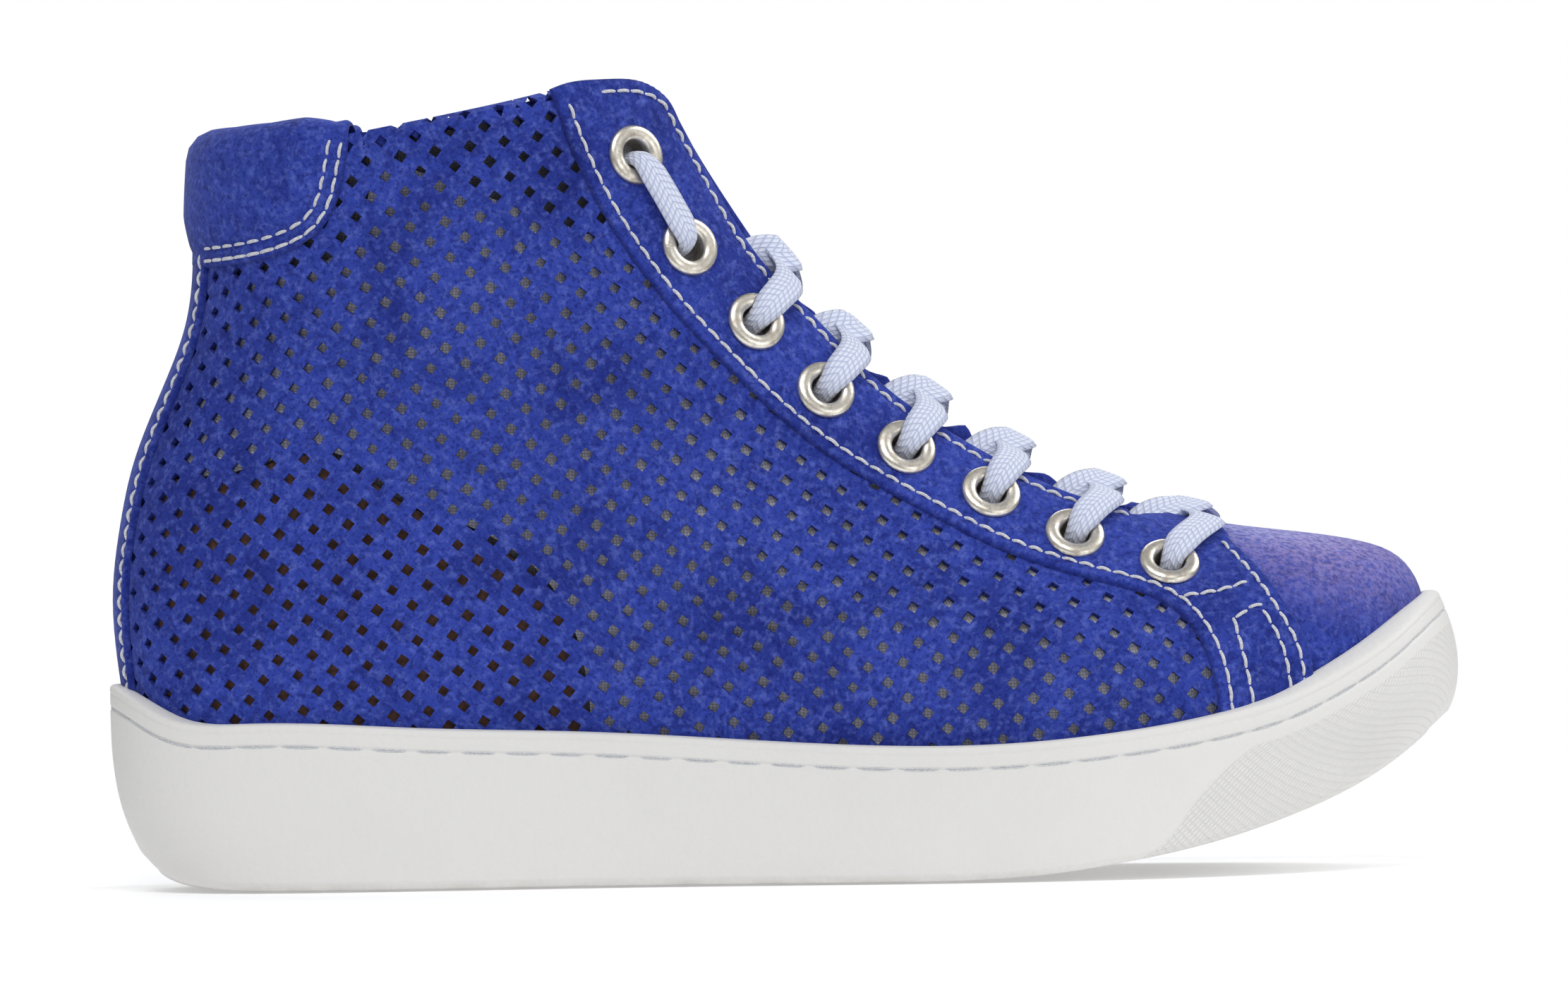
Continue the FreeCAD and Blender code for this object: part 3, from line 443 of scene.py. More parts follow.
def new_group(name, kind, inputs, outputs):
    tree = bpy.data.node_groups.new(name, kind)
    for label, socket_type, value in inputs:
        socket = tree.interface.new_socket(name=label, in_out="INPUT", socket_type=socket_type)
        if value is not None:
            socket.default_value = value
    for label, socket_type in outputs:
        tree.interface.new_socket(name=label, in_out="OUTPUT", socket_type=socket_type)
    return tree, tree.nodes.new("NodeGroupInput").outputs, tree.nodes.new("NodeGroupOutput").inputs


FLOAT, COLOUR = "NodeSocketFloat", "NodeSocketColor"


def start_material(name):
    material = bpy.data.materials.new(name)
    material.use_nodes = True
    tree = material.node_tree
    tree.nodes.clear()
    shader = tree.nodes.new("ShaderNodeBsdfPrincipled")
    out = tree.nodes.new("ShaderNodeOutputMaterial")
    tree.links.new(shader.outputs[0], out.inputs[0])
    return material, tree, shader


def plug(tree, shader, values):
    for key, value in values.items():
        if isinstance(value, bpy.types.NodeSocket):
            tree.links.new(value, shader.inputs[key])
        else:
            shader.inputs[key].default_value = value


def rgba(red, green, blue):
    return (red, green, blue, 1.0)


# %% [markdown]
# ## Suede
# Suede is leather turned flesh side out and brushed, so it has no shine of its own. Its colour shifts with
# the lie of the nap: broad cloudy patches, short strokes, and a fine fuzz. One node group makes these
# three scales from the object's own coordinates, and each material sets its own colours. Every cut edge
# gets painted shade, and the toe gets a rubbed reddish patch and a pale painted highlight on its top.

# %% The nap group
nap, nap_in, nap_out = new_group("nap", "ShaderNodeTree", [
    ("Colour", COLOUR, rgba(0.045, 0.075, 0.36)), ("Deep", COLOUR, rgba(0.012, 0.02, 0.17)),
    ("Pale", COLOUR, rgba(0.13, 0.17, 0.55)), ("Cloud", FLOAT, 0.6), ("Fuzz", FLOAT, 0.6)],
    [("Colour", COLOUR), ("Height", FLOAT), ("Roughness", FLOAT)])
where = add(nap, "ShaderNodeTexCoord").outputs["Object"]
clouds = noise(nap, where, 38.0, 3.0, 0.55, 0.4)
strokes = noise(nap, where, 230.0, 4.0, 0.62, 1.2)
fuzz = noise(nap, where, 1250.0, 3.0, 0.65, 0.3)
specks = noise(nap, where, 620.0, 2.0, 0.6, 0.0)
cloud_share = calc(nap, "MULTIPLY", band(nap, clouds, 0.44, 0.70), nap_in["Cloud"])
tone = blend_colour(nap, cloud_share, nap_in["Colour"], nap_in["Deep"])
tone = blend_colour(nap, calc(nap, "MULTIPLY", band(nap, strokes, 0.50, 0.34), 0.55), tone, nap_in["Deep"])
tone = blend_colour(nap, calc(nap, "MULTIPLY", band(nap, specks, 0.48, 0.78), nap_in["Fuzz"]), tone,
                    nap_in["Pale"])
tone = blend_colour(nap, calc(nap, "MULTIPLY", band(nap, fuzz, 0.52, 0.36), nap_in["Fuzz"]), tone,
                    nap_in["Deep"])
nap.links.new(tone, nap_out["Colour"])
rise = calc(nap, "ADD", calc(nap, "MULTIPLY", fuzz, 0.6), calc(nap, "MULTIPLY", strokes, 0.9))
nap.links.new(calc(nap, "ADD", rise, calc(nap, "MULTIPLY", specks, 0.7)), nap_out["Height"])
nap.links.new(band(nap, strokes, 0.3, 0.7, 0.82, 0.96), nap_out["Roughness"])
print("nap group:", len(nap.nodes), "nodes")


# %% The suede materials
def suede(name, colour, deep, pale, cloud=0.6, fuzz=0.6, rubbed_and_highlit=None):
    """The patches, each (centre, reach, colour, amount) in metres, are rubbed nap and painted highlights."""
    material, tree, shader = start_material(name)
    group = add(tree, "ShaderNodeGroup", node_tree=nap)
    for key, value in (("Colour", colour), ("Deep", deep), ("Pale", pale), ("Cloud", cloud), ("Fuzz", fuzz)):
        group.inputs[key].default_value = value
    tone = group.outputs["Colour"]
    # Painted shade: the suede darkens over the last 0.75 mm up to its cut edges.
    edge = add(tree, "ShaderNodeAttribute", attribute_name="edge_mm").outputs["Fac"]
    cut_edge_shade = calc(tree, "MULTIPLY", band(tree, edge, 0.75, 0.05), 0.45)
    tone = blend_colour(tree, cut_edge_shade, tone, deep)
    # Each patch blends in its colour: rubbed nap, and on the toe's top a painted highlight.
    for centre, reach, rub_and_highlight_colour, amount in rubbed_and_highlit or ():
        where = add(tree, "ShaderNodeTexCoord").outputs["Object"]
        gap = add(tree, "ShaderNodeVectorMath", {0: where, 1: centre}, operation="SUBTRACT").outputs[0]
        gap = add(tree, "ShaderNodeVectorMath", {0: gap, 1: [1.0 / r for r in reach]},
                  operation="MULTIPLY").outputs[0]
        far = add(tree, "ShaderNodeVectorMath", {0: gap}, operation="LENGTH").outputs["Value"]
        patch = add(tree, "ShaderNodeMapRange", {0: far, 1: 1.0, 2: 0.1},
                    interpolation_type="SMOOTHSTEP").outputs[0]
        broken = calc(tree, "MULTIPLY", patch,
                      band(tree, noise(tree, where, 820.0, 3.0, 0.7), 0.40, 0.60, 0.25, 1.0))
        tone = blend_colour(tree, calc(tree, "MULTIPLY", broken, amount), tone, rub_and_highlight_colour)
    bump = add(tree, "ShaderNodeBump",
               {"Strength": 0.55, "Distance": 0.0006, "Height": group.outputs["Height"]})
    plug(tree, shader, {"Base Color": tone, "Roughness": group.outputs["Roughness"],
                        "Normal": bump.outputs[0], "Sheen Weight": 0.18, "Sheen Roughness": 0.45,
                        "Sheen Tint": rgba(0.55, 0.62, 1.0), "Specular IOR Level": 0.12})
    return material


royal, deep_royal, pale_royal = rgba(0.034, 0.060, 0.37), rgba(0.006, 0.012, 0.14), rgba(0.13, 0.18, 0.60)
suede_body = suede("suede_royal", royal, deep_royal, pale_royal)
# On the toe the first patch is rubbed, reddish nap; the second, paler one higher up is a painted highlight
# where light falls on the top.
suede_toe = suede("suede_toe", royal, deep_royal, pale_royal, cloud=0.35,
                  rubbed_and_highlit=[((0.110, 0.0, 0.068), (0.044, 0.046, 0.026), rgba(0.42, 0.33, 0.62), 0.75),
                        ((0.100, 0.0, 0.080), (0.044, 0.034, 0.020), rgba(0.50, 0.55, 0.90), 0.85)])
print("materials:", [m.name for m in bpy.data.materials])

# %% [markdown]
# ## Outlines of the upper's pieces
# The facing that carries the eyelets is one U-shaped piece round the throat; the quarters run under it and
# under the collar patch and the heel strip. Outlines follow the model's, with allowances where pieces lap.

# %% Outlines in the side view
THROAT_EDGE = [(117.8, 154.5), (125.2, 140.2), (132.8, 127.4), (144.8, 113.4), (161.0, 97.6), (177.0, 86.4),
               (193.3, 77.9), (203.0, 74.4), (208.5, 72.9)]
FACING_TOP = [(92.6, 161.2), (95.5, 162.3), (103.0, 163.1), (110.4, 162.6), (115.2, 159.4), (117.8, 154.5)]
FACING_REAR = [(225.4, 24.0), (224.8, 38.0), (222.6, 46.0), (217.4, 53.4), (204.8, 58.8), (185.6, 64.8),
               (166.3, 74.6), (147.0, 86.6), (127.4, 104.3), (109.5, 125.5), (98.6, 145.0), (92.6, 161.2)]
TOE_SEAM = [(229.0, 66.4), (234.6, 60.8), (240.0, 53.1), (243.4, 46.4), (244.8, 38.0), (245.0, 30.0)]
TOPLINE = [(14.0, 148.4), (33.0, 149.2), (52.0, 151.2), (71.0, 154.4), (88.0, 158.0), (99.0, 160.8)]
COLLAR_LOWER = [(52.0, 151.2), (50.8, 145.0), (49.0, 138.4), (45.4, 133.2), (39.0, 129.6), (30.0, 127.4),
                (20.4, 126.4)]
EYELET_CENTRES = [(109.2, 147.5), (119.8, 128.6), (133.0, 112.9), (147.0, 98.8), (163.2, 86.7), (180.2, 77.1),
                  (197.1, 68.5), (216.2, 62.2)]
RIM_LINE = [(-3.0, 43.0), (2.0, 41.0), (10.0, 36.4), (28.0, 34.0), (62.0, 32.6), (97.0, 31.2), (131.0, 29.0),
            (160.0, 27.4), (183.0, 27.5), (206.0, 29.4), (229.0, 33.0), (240.0, 36.0), (251.0, 41.0),
            (263.0, 48.5), (271.0, 55.0), (279.0, 60.0)]
rim_height = curve_of(RIM_LINE)
topline_height = curve_of(TOPLINE)
HIDDEN = 7.0            # how far the upper reaches down inside the cup
# Each layer's two faces, from the outer to the inner one, as heights over the skin.
UNDER_LAYER, FACING_LAYER, STRIP_LAYER = (0.0, -1.35), (1.45, 0.1), (1.3, 0.05)
COLLAR_LAYER, LINING_LAYER = (1.4, 0.1), (-2.85, -3.6)


def line_uv(*parts, closed=True):
    """Joins (u, v) runs, filling the gaps between them evenly."""
    pieces = []
    count = len(parts) if closed else len(parts) - 1
    for i, part in enumerate(parts):
        pieces.append(part)
        if i < count:
            first, last = part[-1], parts[(i + 1) % len(parts)][0]
            gap = np.linalg.norm(skin(*first) - skin(*last))
            steps = int(gap / 1.2)
            if steps > 1:
                share = np.linspace(0, 1, steps + 1)[1:-1, None]
                pieces.append(first + (last - first) * share)
    line = np.concatenate(pieces)
    points = skin(line[:, 0], line[:, 1])
    return line[np.linalg.norm(points - np.roll(points, 1, axis=0), axis=1) > 0.3]


def side_run(points, medial=False):
    return on_side(smooth_run(points), medial)


def mirror(uv, about=1.0):
    """The same run on the shoe's other side."""
    return np.stack([2.0 * about - uv[:, 0], uv[:, 1]], -1)[::-1]


def row_inside(run, distance, outline):
    """A seam row a distance in from a stretch of an outline."""
    for sign in (1.0, -1.0):
        row = stepped_in(run, sign * distance, closed=False)
        if inside(to_pattern(row[len(row) // 2:len(row) // 2 + 1]), to_pattern(outline))[0]:
            return row
    return run


def below_rim(first, last, steps=90):
    """A run inside the cup from one station to another."""
    station = np.linspace(first, last, steps)
    return np.stack([station, rim_height(station) - HIDDEN], -1)


# %% The facing, with its eyelet holes
def ring_on_skin(uv, radius, count=28):
    along, up = slopes_of_skin(*uv)
    out = outward(*uv)[0]
    across = unit(along[0])
    upward = np.cross(out, across)
    angle = np.linspace(0.0, 2.0 * np.pi, count, endpoint=False)[:, None]
    offset = radius * (across * np.cos(angle) + upward * np.sin(angle))
    basis = np.stack([along[0], up[0]], -1)
    return uv + (np.linalg.pinv(basis) @ offset.T).T


eyelet_uv = {False: on_side(EYELET_CENTRES), True: on_side(EYELET_CENTRES, True)}
throat_run, top_run = side_run(THROAT_EDGE), side_run(FACING_TOP)
rear_run, toe_run = side_run(FACING_REAR), side_run(TOE_SEAM)
throat_end = np.array([[0.90, 0.408], [0.95, 0.4], [1.0, 0.398]])
half = line_uv(np.array([[1.0, 0.368], [0.955, 0.364]]), toe_run, rear_run, top_run, throat_run, throat_end,
               closed=False)
facing_outline = line_uv(half, mirror(half)[1:-1])
throat_row = line_uv(row_inside(line_uv(top_run[8:], throat_run, closed=False), 2.7, facing_outline),
                     closed=False)
facing_rows = [throat_row, row_inside(rear_run[6:-3], 2.6, facing_outline),
               row_inside(toe_run[:-4], 2.5, facing_outline),
               side_run([(218.6, 55.8), (226.0, 56.6), (233.0, 58.6)]),
               line_uv(side_run([(232.6, 31.0), (230.9, 41.0), (228.6, 51.0)]),
                       side_run([(229.4, 51.6), (233.4, 53.6)]),
                       side_run([(234.2, 53.2), (237.6, 47.0), (239.2, 41.0), (239.8, 32.0)]), closed=False)]
facing_rows += [mirror(row) for row in facing_rows]
gather = curve_of([(0.36, 0.0), (0.40, 3.4), (0.45, 2.0), (0.50, 2.8), (0.56, 3.8), (0.62, 1.6), (0.7, 1.2),
                   (0.8, 0.3), (0.92, 0.0)])


lace_v = np.array([high[1] + (low[1] - high[1]) * 0.66
                   for high, low in zip(eyelet_uv[True][1:], eyelet_uv[True][2:])])


def facing_swell(edge, uv):
    """Between the laces the inner side's free edge lifts off the tongue; each lace holds it down."""
    lift = np.where(uv[:, 0] > 1.06, gather(np.clip(uv[:, 1], 0.36, 0.92)), 0.0)
    clear = np.clip((np.abs(uv[:, 1][:, None] - lace_v).min(1) - 0.015) / 0.02, 0.0, 1.0)
    lift = lift * clear * clear * (3.0 - 2.0 * clear)
    near_throat = np.clip((1.33 - uv[:, 0]) / 0.1, 0.0, 1.0)
    return np.maximum(lift, 0.0) * near_throat * np.exp(-((edge / 6.5) ** 2))


EYELET_HOLE = 4.4
eyelet_holes = [ring_on_skin(uv, EYELET_HOLE) for side in (False, True) for uv in eyelet_uv[side]]
facing = cut_sheet("facing", facing_outline, *FACING_LAYER, holes=eyelet_holes, seams=facing_rows,
                   swell=facing_swell)
facing.data.materials.append(suede_body)

# %% The quarters, with their upper edge turned over
fold_u = np.linspace(-1.0, 2.0, 601)
fold_station = np.linspace(15.0, 112.0, 160)
fold_side = under(fold_station, topline_height(fold_station))
fold_side = fold_side[np.argsort(fold_side[:, 0])]
fold_v = np.interp(np.where(fold_u > 1, 2 - fold_u, np.abs(fold_u)), fold_side[:, 0], fold_side[:, 1])
fold_line = np.stack([fold_u, fold_v], -1)


def past_fold(first, last, over, medial):
    """A run a few millimetres beyond the fold, seen from the side."""
    station = np.linspace(first, last, 60)
    uv = under(station, topline_height(station), medial)
    up = np.linalg.norm(slopes_of_skin(uv[:, 0], uv[:, 1])[1], axis=1)
    uv[:, 1] += over / up
    return uv


def heel_edge(distance, low, high, medial):
    """A run up the heel at an arc distance from the middle."""
    v = np.linspace(low, high, 80)
    u = distance / np.linalg.norm(slopes_of_skin(0.0, v)[0], axis=1)
    return np.stack([2.0 - u if medial else u, v], -1)


def quarter_outline(medial):
    rear = heel_edge(4.0, 0.03, 0.80, medial)
    hidden_top = side_run([(24.0, 131.0), (38.0, 134.5), (43.0, 139.0), (46.0, 146.0), (46.6, 150.4)], medial)
    fold = past_fold(46.6, 97.0, 11.0, medial)
    under_facing = side_run(shift(FACING_REAR, 4.2, 3.2)[2:-1][::-1], medial)
    return line_uv(rear, hidden_top, fold, under_facing, side_run(below_rim(233.0, 8.0), medial))


quarters = []
for name, medial in (("lateral", False), ("medial", True)):
    sheet = cut_sheet("punched_" + name, quarter_outline(medial), *UNDER_LAYER,
                      turn_over=(fold_line, 1.9, 0.0))
    quarters.append(sheet)

# %% The toe piece, the heel strip and the collar patch
toe_rear = side_run([(236.0, 26.0), (236.0, 36.0), (233.0, 48.0), (226.0, 58.0), (217.0, 65.0),
                     (211.0, 70.5)])
toe_low = side_run([(station, rim_height(station) - HIDDEN)
                    for station in (266.0, 262.0, 256.0, 250.0, 243.0, 236.0)])
half_toe = line_uv(np.array([[1.0, 0.075], [0.93, 0.07]]), toe_low[4:], toe_rear, np.array([[1.0, 0.413]]),
                   closed=False)
toe_piece = cut_sheet("toe_piece", line_uv(half_toe, mirror(half_toe)[1:-1]), *UNDER_LAYER, net=2.0)
toe_piece.data.materials.append(suede_toe)

strip_side = heel_edge(11.0, 0.03, 0.80, False)
strip_outline = line_uv(strip_side, mirror(strip_side, 0.0))
strip_rows = [heel_edge(9.2, 0.06, 0.79, False), mirror(heel_edge(9.2, 0.06, 0.79, False), 0.0)]
heel_strip = cut_sheet("heel_strip", strip_outline, *STRIP_LAYER, seams=strip_rows, net=1.8)
heel_strip.data.materials.append(suede_body)

collar_front = side_run(COLLAR_LOWER)
collar_top = past_fold(20.6, 52.0, 24.0, False)
half_collar = line_uv(np.array([[0.0, collar_front[-1, 1]]]), collar_front[::-1], collar_top[::-1],
                      np.array([[0.0, collar_top[0, 1]]]), closed=False)
collar_outline = line_uv(half_collar, mirror(half_collar, 0.0)[1:-1])
lower_half = line_uv(collar_front[:-2], closed=False)
collar_rows = []
for distance in (1.3, 3.9):
    row = row_inside(lower_half, distance, collar_outline)
    collar_rows += [row, mirror(row, 0.0)]


def padding(edge, uv):
    """The collar patch is quilted: it rises over its foam from a flat border."""
    return 1.9 * np.clip((edge - 3.5) / 7.0, 0.0, 1.0) ** 0.7


collar_patch = cut_sheet("collar_patch", collar_outline, *COLLAR_LAYER, rounding=1.1, seams=collar_rows,
                         dip=0.35, swell=padding, turn_over=(fold_line, 3.2, 0.0), net=2.0)
collar_patch.data.materials.append(suede_body)

# %% [markdown]
# ## Punched holes
# A press punches the quarters through in one stroke, so the holes are a square lattice on the flat piece,
# turned a little past the diagonal. Geometry Nodes repeat that: a grid of points in the piece's own flat
# coordinates is sampled onto the leather, a small square punch stands on every point, and one boolean
# cuts them all. Modelling each hole would take hours, and a bump can't show the lining behind.

# %% A modifier from a tree
GEOMETRY = "NodeSocketGeometry"


def run_tree(piece, tree, values):
    """Runs a Geometry Nodes tree on a piece and bakes the result into a plain mesh."""
    modifier = piece.modifiers.new(tree.name, "NODES")
    modifier.node_group = tree
    for item in tree.interface.items_tree:
        if item.item_type == "SOCKET" and item.in_out == "INPUT" and item.name in values:
            modifier[item.identifier] = values[item.name]
    result = bpy.data.meshes.new_from_object(piece.evaluated_get(bpy.context.evaluated_depsgraph_get()))
    piece.modifiers.remove(modifier)
    name = piece.data.name
    piece.data = result
    result.name = name
    return piece


def holder(name, points=(), attributes=(), edges=()):
    """An object made of bare points, for a tree to build on; attributes are (name, kind, values)."""
    mesh = bpy.data.meshes.new(name)
    mesh.from_pydata((np.asarray(points) * MM).tolist(), list(edges), [])
    for label, kind, values in attributes:
        data = mesh.attributes.new(label, kind, "POINT")
        data.data.foreach_set("vector" if kind == "FLOAT_VECTOR" else "value",
                              np.asarray(values, np.float32).ravel())
    piece = bpy.data.objects.new(name, mesh)
    bpy.context.scene.collection.objects.link(piece)
    return piece


def named(tree, label, kind="FLOAT"):
    return add(tree, "GeometryNodeInputNamedAttribute", {"Name": label}, data_type=kind).outputs["Attribute"]


# %% The punching press
press, press_in, press_out = new_group("punching_press", "GeometryNodeTree",
                                       [("Leather", GEOMETRY, None), ("Pitch", FLOAT, 0.0051),
                                        ("Hole", FLOAT, 0.0019), ("Turn", FLOAT, 0.907),
                                        ("Margin", FLOAT, 0.0024), ("Unevenness", FLOAT, 0.08),
                                        ("Suede", "NodeSocketMaterial", None)], [("Punched", GEOMETRY)])
grain_face = add(press, "GeometryNodeSeparateGeometry", {0: press_in["Leather"], "Selection": named(
    press, "grain_side", "BOOLEAN")}, domain="FACE").outputs[0]
laid_uv = named(press, "laid", "FLOAT_VECTOR")
half_cells = 36
LATTICE_MIDDLE = (0.110, 0.085, 0.0)
lattice = add(press, "GeometryNodeMeshGrid",
              {"Vertices X": 2 * half_cells + 1, "Vertices Y": 2 * half_cells + 1, "Size X": 2.0 * half_cells,
               "Size Y": 2.0 * half_cells}).outputs[0]
turned = add(press, "ShaderNodeCombineXYZ", {"Z": press_in["Turn"]}).outputs[0]
spread = add(press, "ShaderNodeCombineXYZ",
             {"X": press_in["Pitch"], "Y": press_in["Pitch"], "Z": 1.0}).outputs[0]
placed = add(press, "GeometryNodeTransform",
             {0: lattice, "Translation": LATTICE_MIDDLE, "Rotation": turned, "Scale": spread}).outputs[0]
spot = add(press, "GeometryNodeInputPosition").outputs[0]
grain_spot = add(press, "GeometryNodeInputPosition").outputs[0]
grain_normal = add(press, "GeometryNodeInputNormal").outputs[0]


def sampled(value, at):
    node = add(press, "GeometryNodeSampleUVSurface", data_type="FLOAT_VECTOR")
    for key, socket in ((0, grain_face), ("UV Map", laid_uv), ("Sample UV", at)):
        press.links.new(socket, node.inputs[key])
    press.links.new(value, [s for s in node.inputs if s.name == "Value" and s.enabled][0])
    return node


def moved(x_share, y_share):
    step = add(press, "ShaderNodeCombineXYZ",
               {"X": calc(press, "MULTIPLY", press_in["Margin"], x_share),
                "Y": calc(press, "MULTIPLY", press_in["Margin"], y_share)}).outputs[0]
    return add(press, "ShaderNodeVectorMath", {0: spot, 1: step}, operation="ADD").outputs[0]


landing = sampled(grain_spot, spot)
beside = sampled(grain_spot, moved(0.4, 0.0))
facing_out = sampled(grain_normal, spot)
allowed = landing.outputs["Is Valid"]
for x_share, y_share in ((1.0, 0.0), (-1.0, 0.0), (0.0, 1.0), (0.0, -1.0)):
    allowed = add(press, "FunctionNodeBooleanMath",
                  {0: allowed, 1: sampled(grain_spot, moved(x_share, y_share)).outputs["Is Valid"]},
                  operation="AND").outputs[0]
along_row = add(press, "ShaderNodeVectorMath", {0: beside.outputs[0], 1: landing.outputs[0]},
                operation="SUBTRACT").outputs[0]
kept = add(press, "GeometryNodeStoreNamedAttribute",
           {"Geometry": placed, "Name": "stand", "Value": landing.outputs[0]}, data_type="FLOAT_VECTOR",
           domain="POINT").outputs[0]
stance = add(press, "FunctionNodeAxesToRotation",
             {"Primary Axis": facing_out.outputs[0], "Secondary Axis": along_row}, primary_axis="Z",
             secondary_axis="X").outputs[0]
wobble = add(press, "FunctionNodeRandomValue", {"Min": -0.07, "Max": 0.07, "Seed": 4}, data_type="FLOAT")
spin = calc(press, "ADD", press_in["Turn"], [o for o in wobble.outputs if o.enabled][0])
spin = add(press, "ShaderNodeCombineXYZ", {"Z": calc(press, "SUBTRACT", spin, math.pi / 4)}).outputs[0]
spin = add(press, "FunctionNodeEulerToRotation", {0: spin}).outputs[0]
stance = add(press, "FunctionNodeRotateRotation", {0: stance, 1: spin}, rotation_space="LOCAL").outputs[0]
uneven = calc(press, "MULTIPLY", press_in["Unevenness"], press_in["Hole"])
size = add(press, "FunctionNodeRandomValue", {"Min": calc(press, "SUBTRACT", press_in["Hole"], uneven),
                                              "Max": calc(press, "ADD", press_in["Hole"], uneven), "Seed": 9},
           data_type="FLOAT")
wide = [o for o in size.outputs if o.enabled][0]
punch = add(press, "GeometryNodeMeshCylinder", {"Vertices": 4, "Radius": 0.7071, "Depth": 1.0},
            fill_type="NGON").outputs[0]
punches = add(press, "GeometryNodeInstanceOnPoints",
              {"Points": kept, "Selection": allowed, "Instance": punch, "Rotation": stance,
               "Scale": add(press, "ShaderNodeCombineXYZ", {"X": wide, "Y": wide, "Z": 0.006}).outputs[0]})
punches = add(press, "GeometryNodeSetPosition", {"Geometry": punches.outputs[0], "Position": named(
    press, "stand", "FLOAT_VECTOR")}).outputs[0]
punches = add(press, "GeometryNodeRealizeInstances", {0: punches}).outputs[0]
cut = add(press, "GeometryNodeMeshBoolean", {"Mesh 1": press_in["Leather"]}, operation="DIFFERENCE",
          solver="MANIFOLD")
press.links.new(punches, cut.inputs["Mesh 2"])
crisp = calc(press, "LESS_THAN", add(press, "GeometryNodeInputMeshEdgeAngle").outputs[0], 0.8)
smooth_faces = add(press, "GeometryNodeSetShadeSmooth", {"Geometry": cut.outputs[0], "Shade Smooth": True},
                   domain="FACE").outputs[0]
smooth_edges = add(press, "GeometryNodeSetShadeSmooth", {"Geometry": smooth_faces, "Shade Smooth": crisp},
                   domain="EDGE").outputs[0]
finished = add(press, "GeometryNodeSetMaterial",
               {"Geometry": smooth_edges, "Material": press_in["Suede"]}).outputs[0]
press.links.new(finished, press_out["Punched"])

# %% Punch both quarters
for sheet in quarters:
    before = len(sheet.data.polygons)
    run_tree(sheet, press, {"Suede": suede_body})
    print(f"{sheet.name}: {before} faces before punching, {len(sheet.data.polygons)} after")

# %% [markdown]
# ## Thread
# Every stitch is the same short arch of thread standing on the leather, so a Geometry Nodes tree sets one
# on each marked place, turned along its row. The marks are spaced along the rows that the cutter grooved.

# %% The sewing tree
sewing, sewing_in, sewing_out = new_group("sewn_row", "GeometryNodeTree",
                                          [("Places", GEOMETRY, None), ("Length", FLOAT, 0.003),
                                           ("Thread", FLOAT, 0.00036), ("Arch", FLOAT, 0.00055),
                                           ("Material", "NodeSocketMaterial", None)], [("Thread", GEOMETRY)])
half_stitch = calc(sewing, "MULTIPLY", sewing_in["Length"], 0.5)
buried = calc(sewing, "MULTIPLY", sewing_in["Thread"], -0.9)
arch = add(sewing, "GeometryNodeCurveQuadraticBezier",
           {"Resolution": 5,
            "Start": add(sewing, "ShaderNodeCombineXYZ",
                         {"X": calc(sewing, "MULTIPLY", half_stitch, -1.0), "Z": buried}).outputs[0],
            "Middle": add(sewing, "ShaderNodeCombineXYZ",
                          {"Z": calc(sewing, "MULTIPLY", sewing_in["Arch"], 2.0)}).outputs[0],
            "End": add(sewing, "ShaderNodeCombineXYZ",
                       {"X": half_stitch, "Z": buried}).outputs[0]}).outputs[0]
yarn = add(sewing, "GeometryNodeCurvePrimitiveCircle",
           {"Resolution": 6, "Radius": sewing_in["Thread"]}).outputs[0]
stitch = add(sewing, "GeometryNodeCurveToMesh",
             {"Curve": arch, "Profile Curve": yarn, "Fill Caps": True}).outputs[0]
lay = add(sewing, "FunctionNodeAxesToRotation",
          {"Primary Axis": named(sewing, "out", "FLOAT_VECTOR"),
           "Secondary Axis": named(sewing, "ahead", "FLOAT_VECTOR")}, primary_axis="Z",
          secondary_axis="X").outputs[0]
slack = add(sewing, "FunctionNodeRandomValue",
            {"Min": (0.92, 0.94, 0.85), "Max": (1.06, 1.06, 1.15), "Seed": 3},
            data_type="FLOAT_VECTOR").outputs[0]
sewn = add(sewing, "GeometryNodeInstanceOnPoints",
           {"Points": sewing_in["Places"], "Instance": stitch, "Rotation": lay, "Scale": slack}).outputs[0]
sewn = add(sewing, "GeometryNodeRealizeInstances", {0: sewn}).outputs[0]
sewn = add(sewing, "GeometryNodeSetShadeSmooth", {"Geometry": sewn, "Shade Smooth": True},
           domain="FACE").outputs[0]
sewn = add(sewing, "GeometryNodeSetMaterial",
           {"Geometry": sewn, "Material": sewing_in["Material"]}).outputs[0]
sewing.links.new(sewn, sewing_out["Thread"])


def marks_on(points, out, pitch):
    """Places a pitch apart along a line of points, each with the way ahead and the way out."""
    reach = np.concatenate([[0.0], np.cumsum(np.linalg.norm(np.diff(points, axis=0), axis=1))])
    at = np.arange(pitch / 2.0, reach[-1], pitch)
    ahead = unit(np.gradient(points, axis=0))
    spread = lambda values: np.stack([np.interp(at, reach, values[:, k]) for k in range(3)], -1)
    return np.concatenate([spread(points), unit(spread(ahead)), unit(spread(out))], -1)


def sew(name, marks, material, **sizes):
    marks = np.concatenate(marks)
    piece = holder(name, marks[:, :3],
                   [("ahead", "FLOAT_VECTOR", marks[:, 3:6]), ("out", "FLOAT_VECTOR", marks[:, 6:])])
    run_tree(piece, sewing, {"Material": material, **sizes})
    print(f"{name}: {len(marks)} stitches, {len(piece.data.polygons)} faces")
    return piece


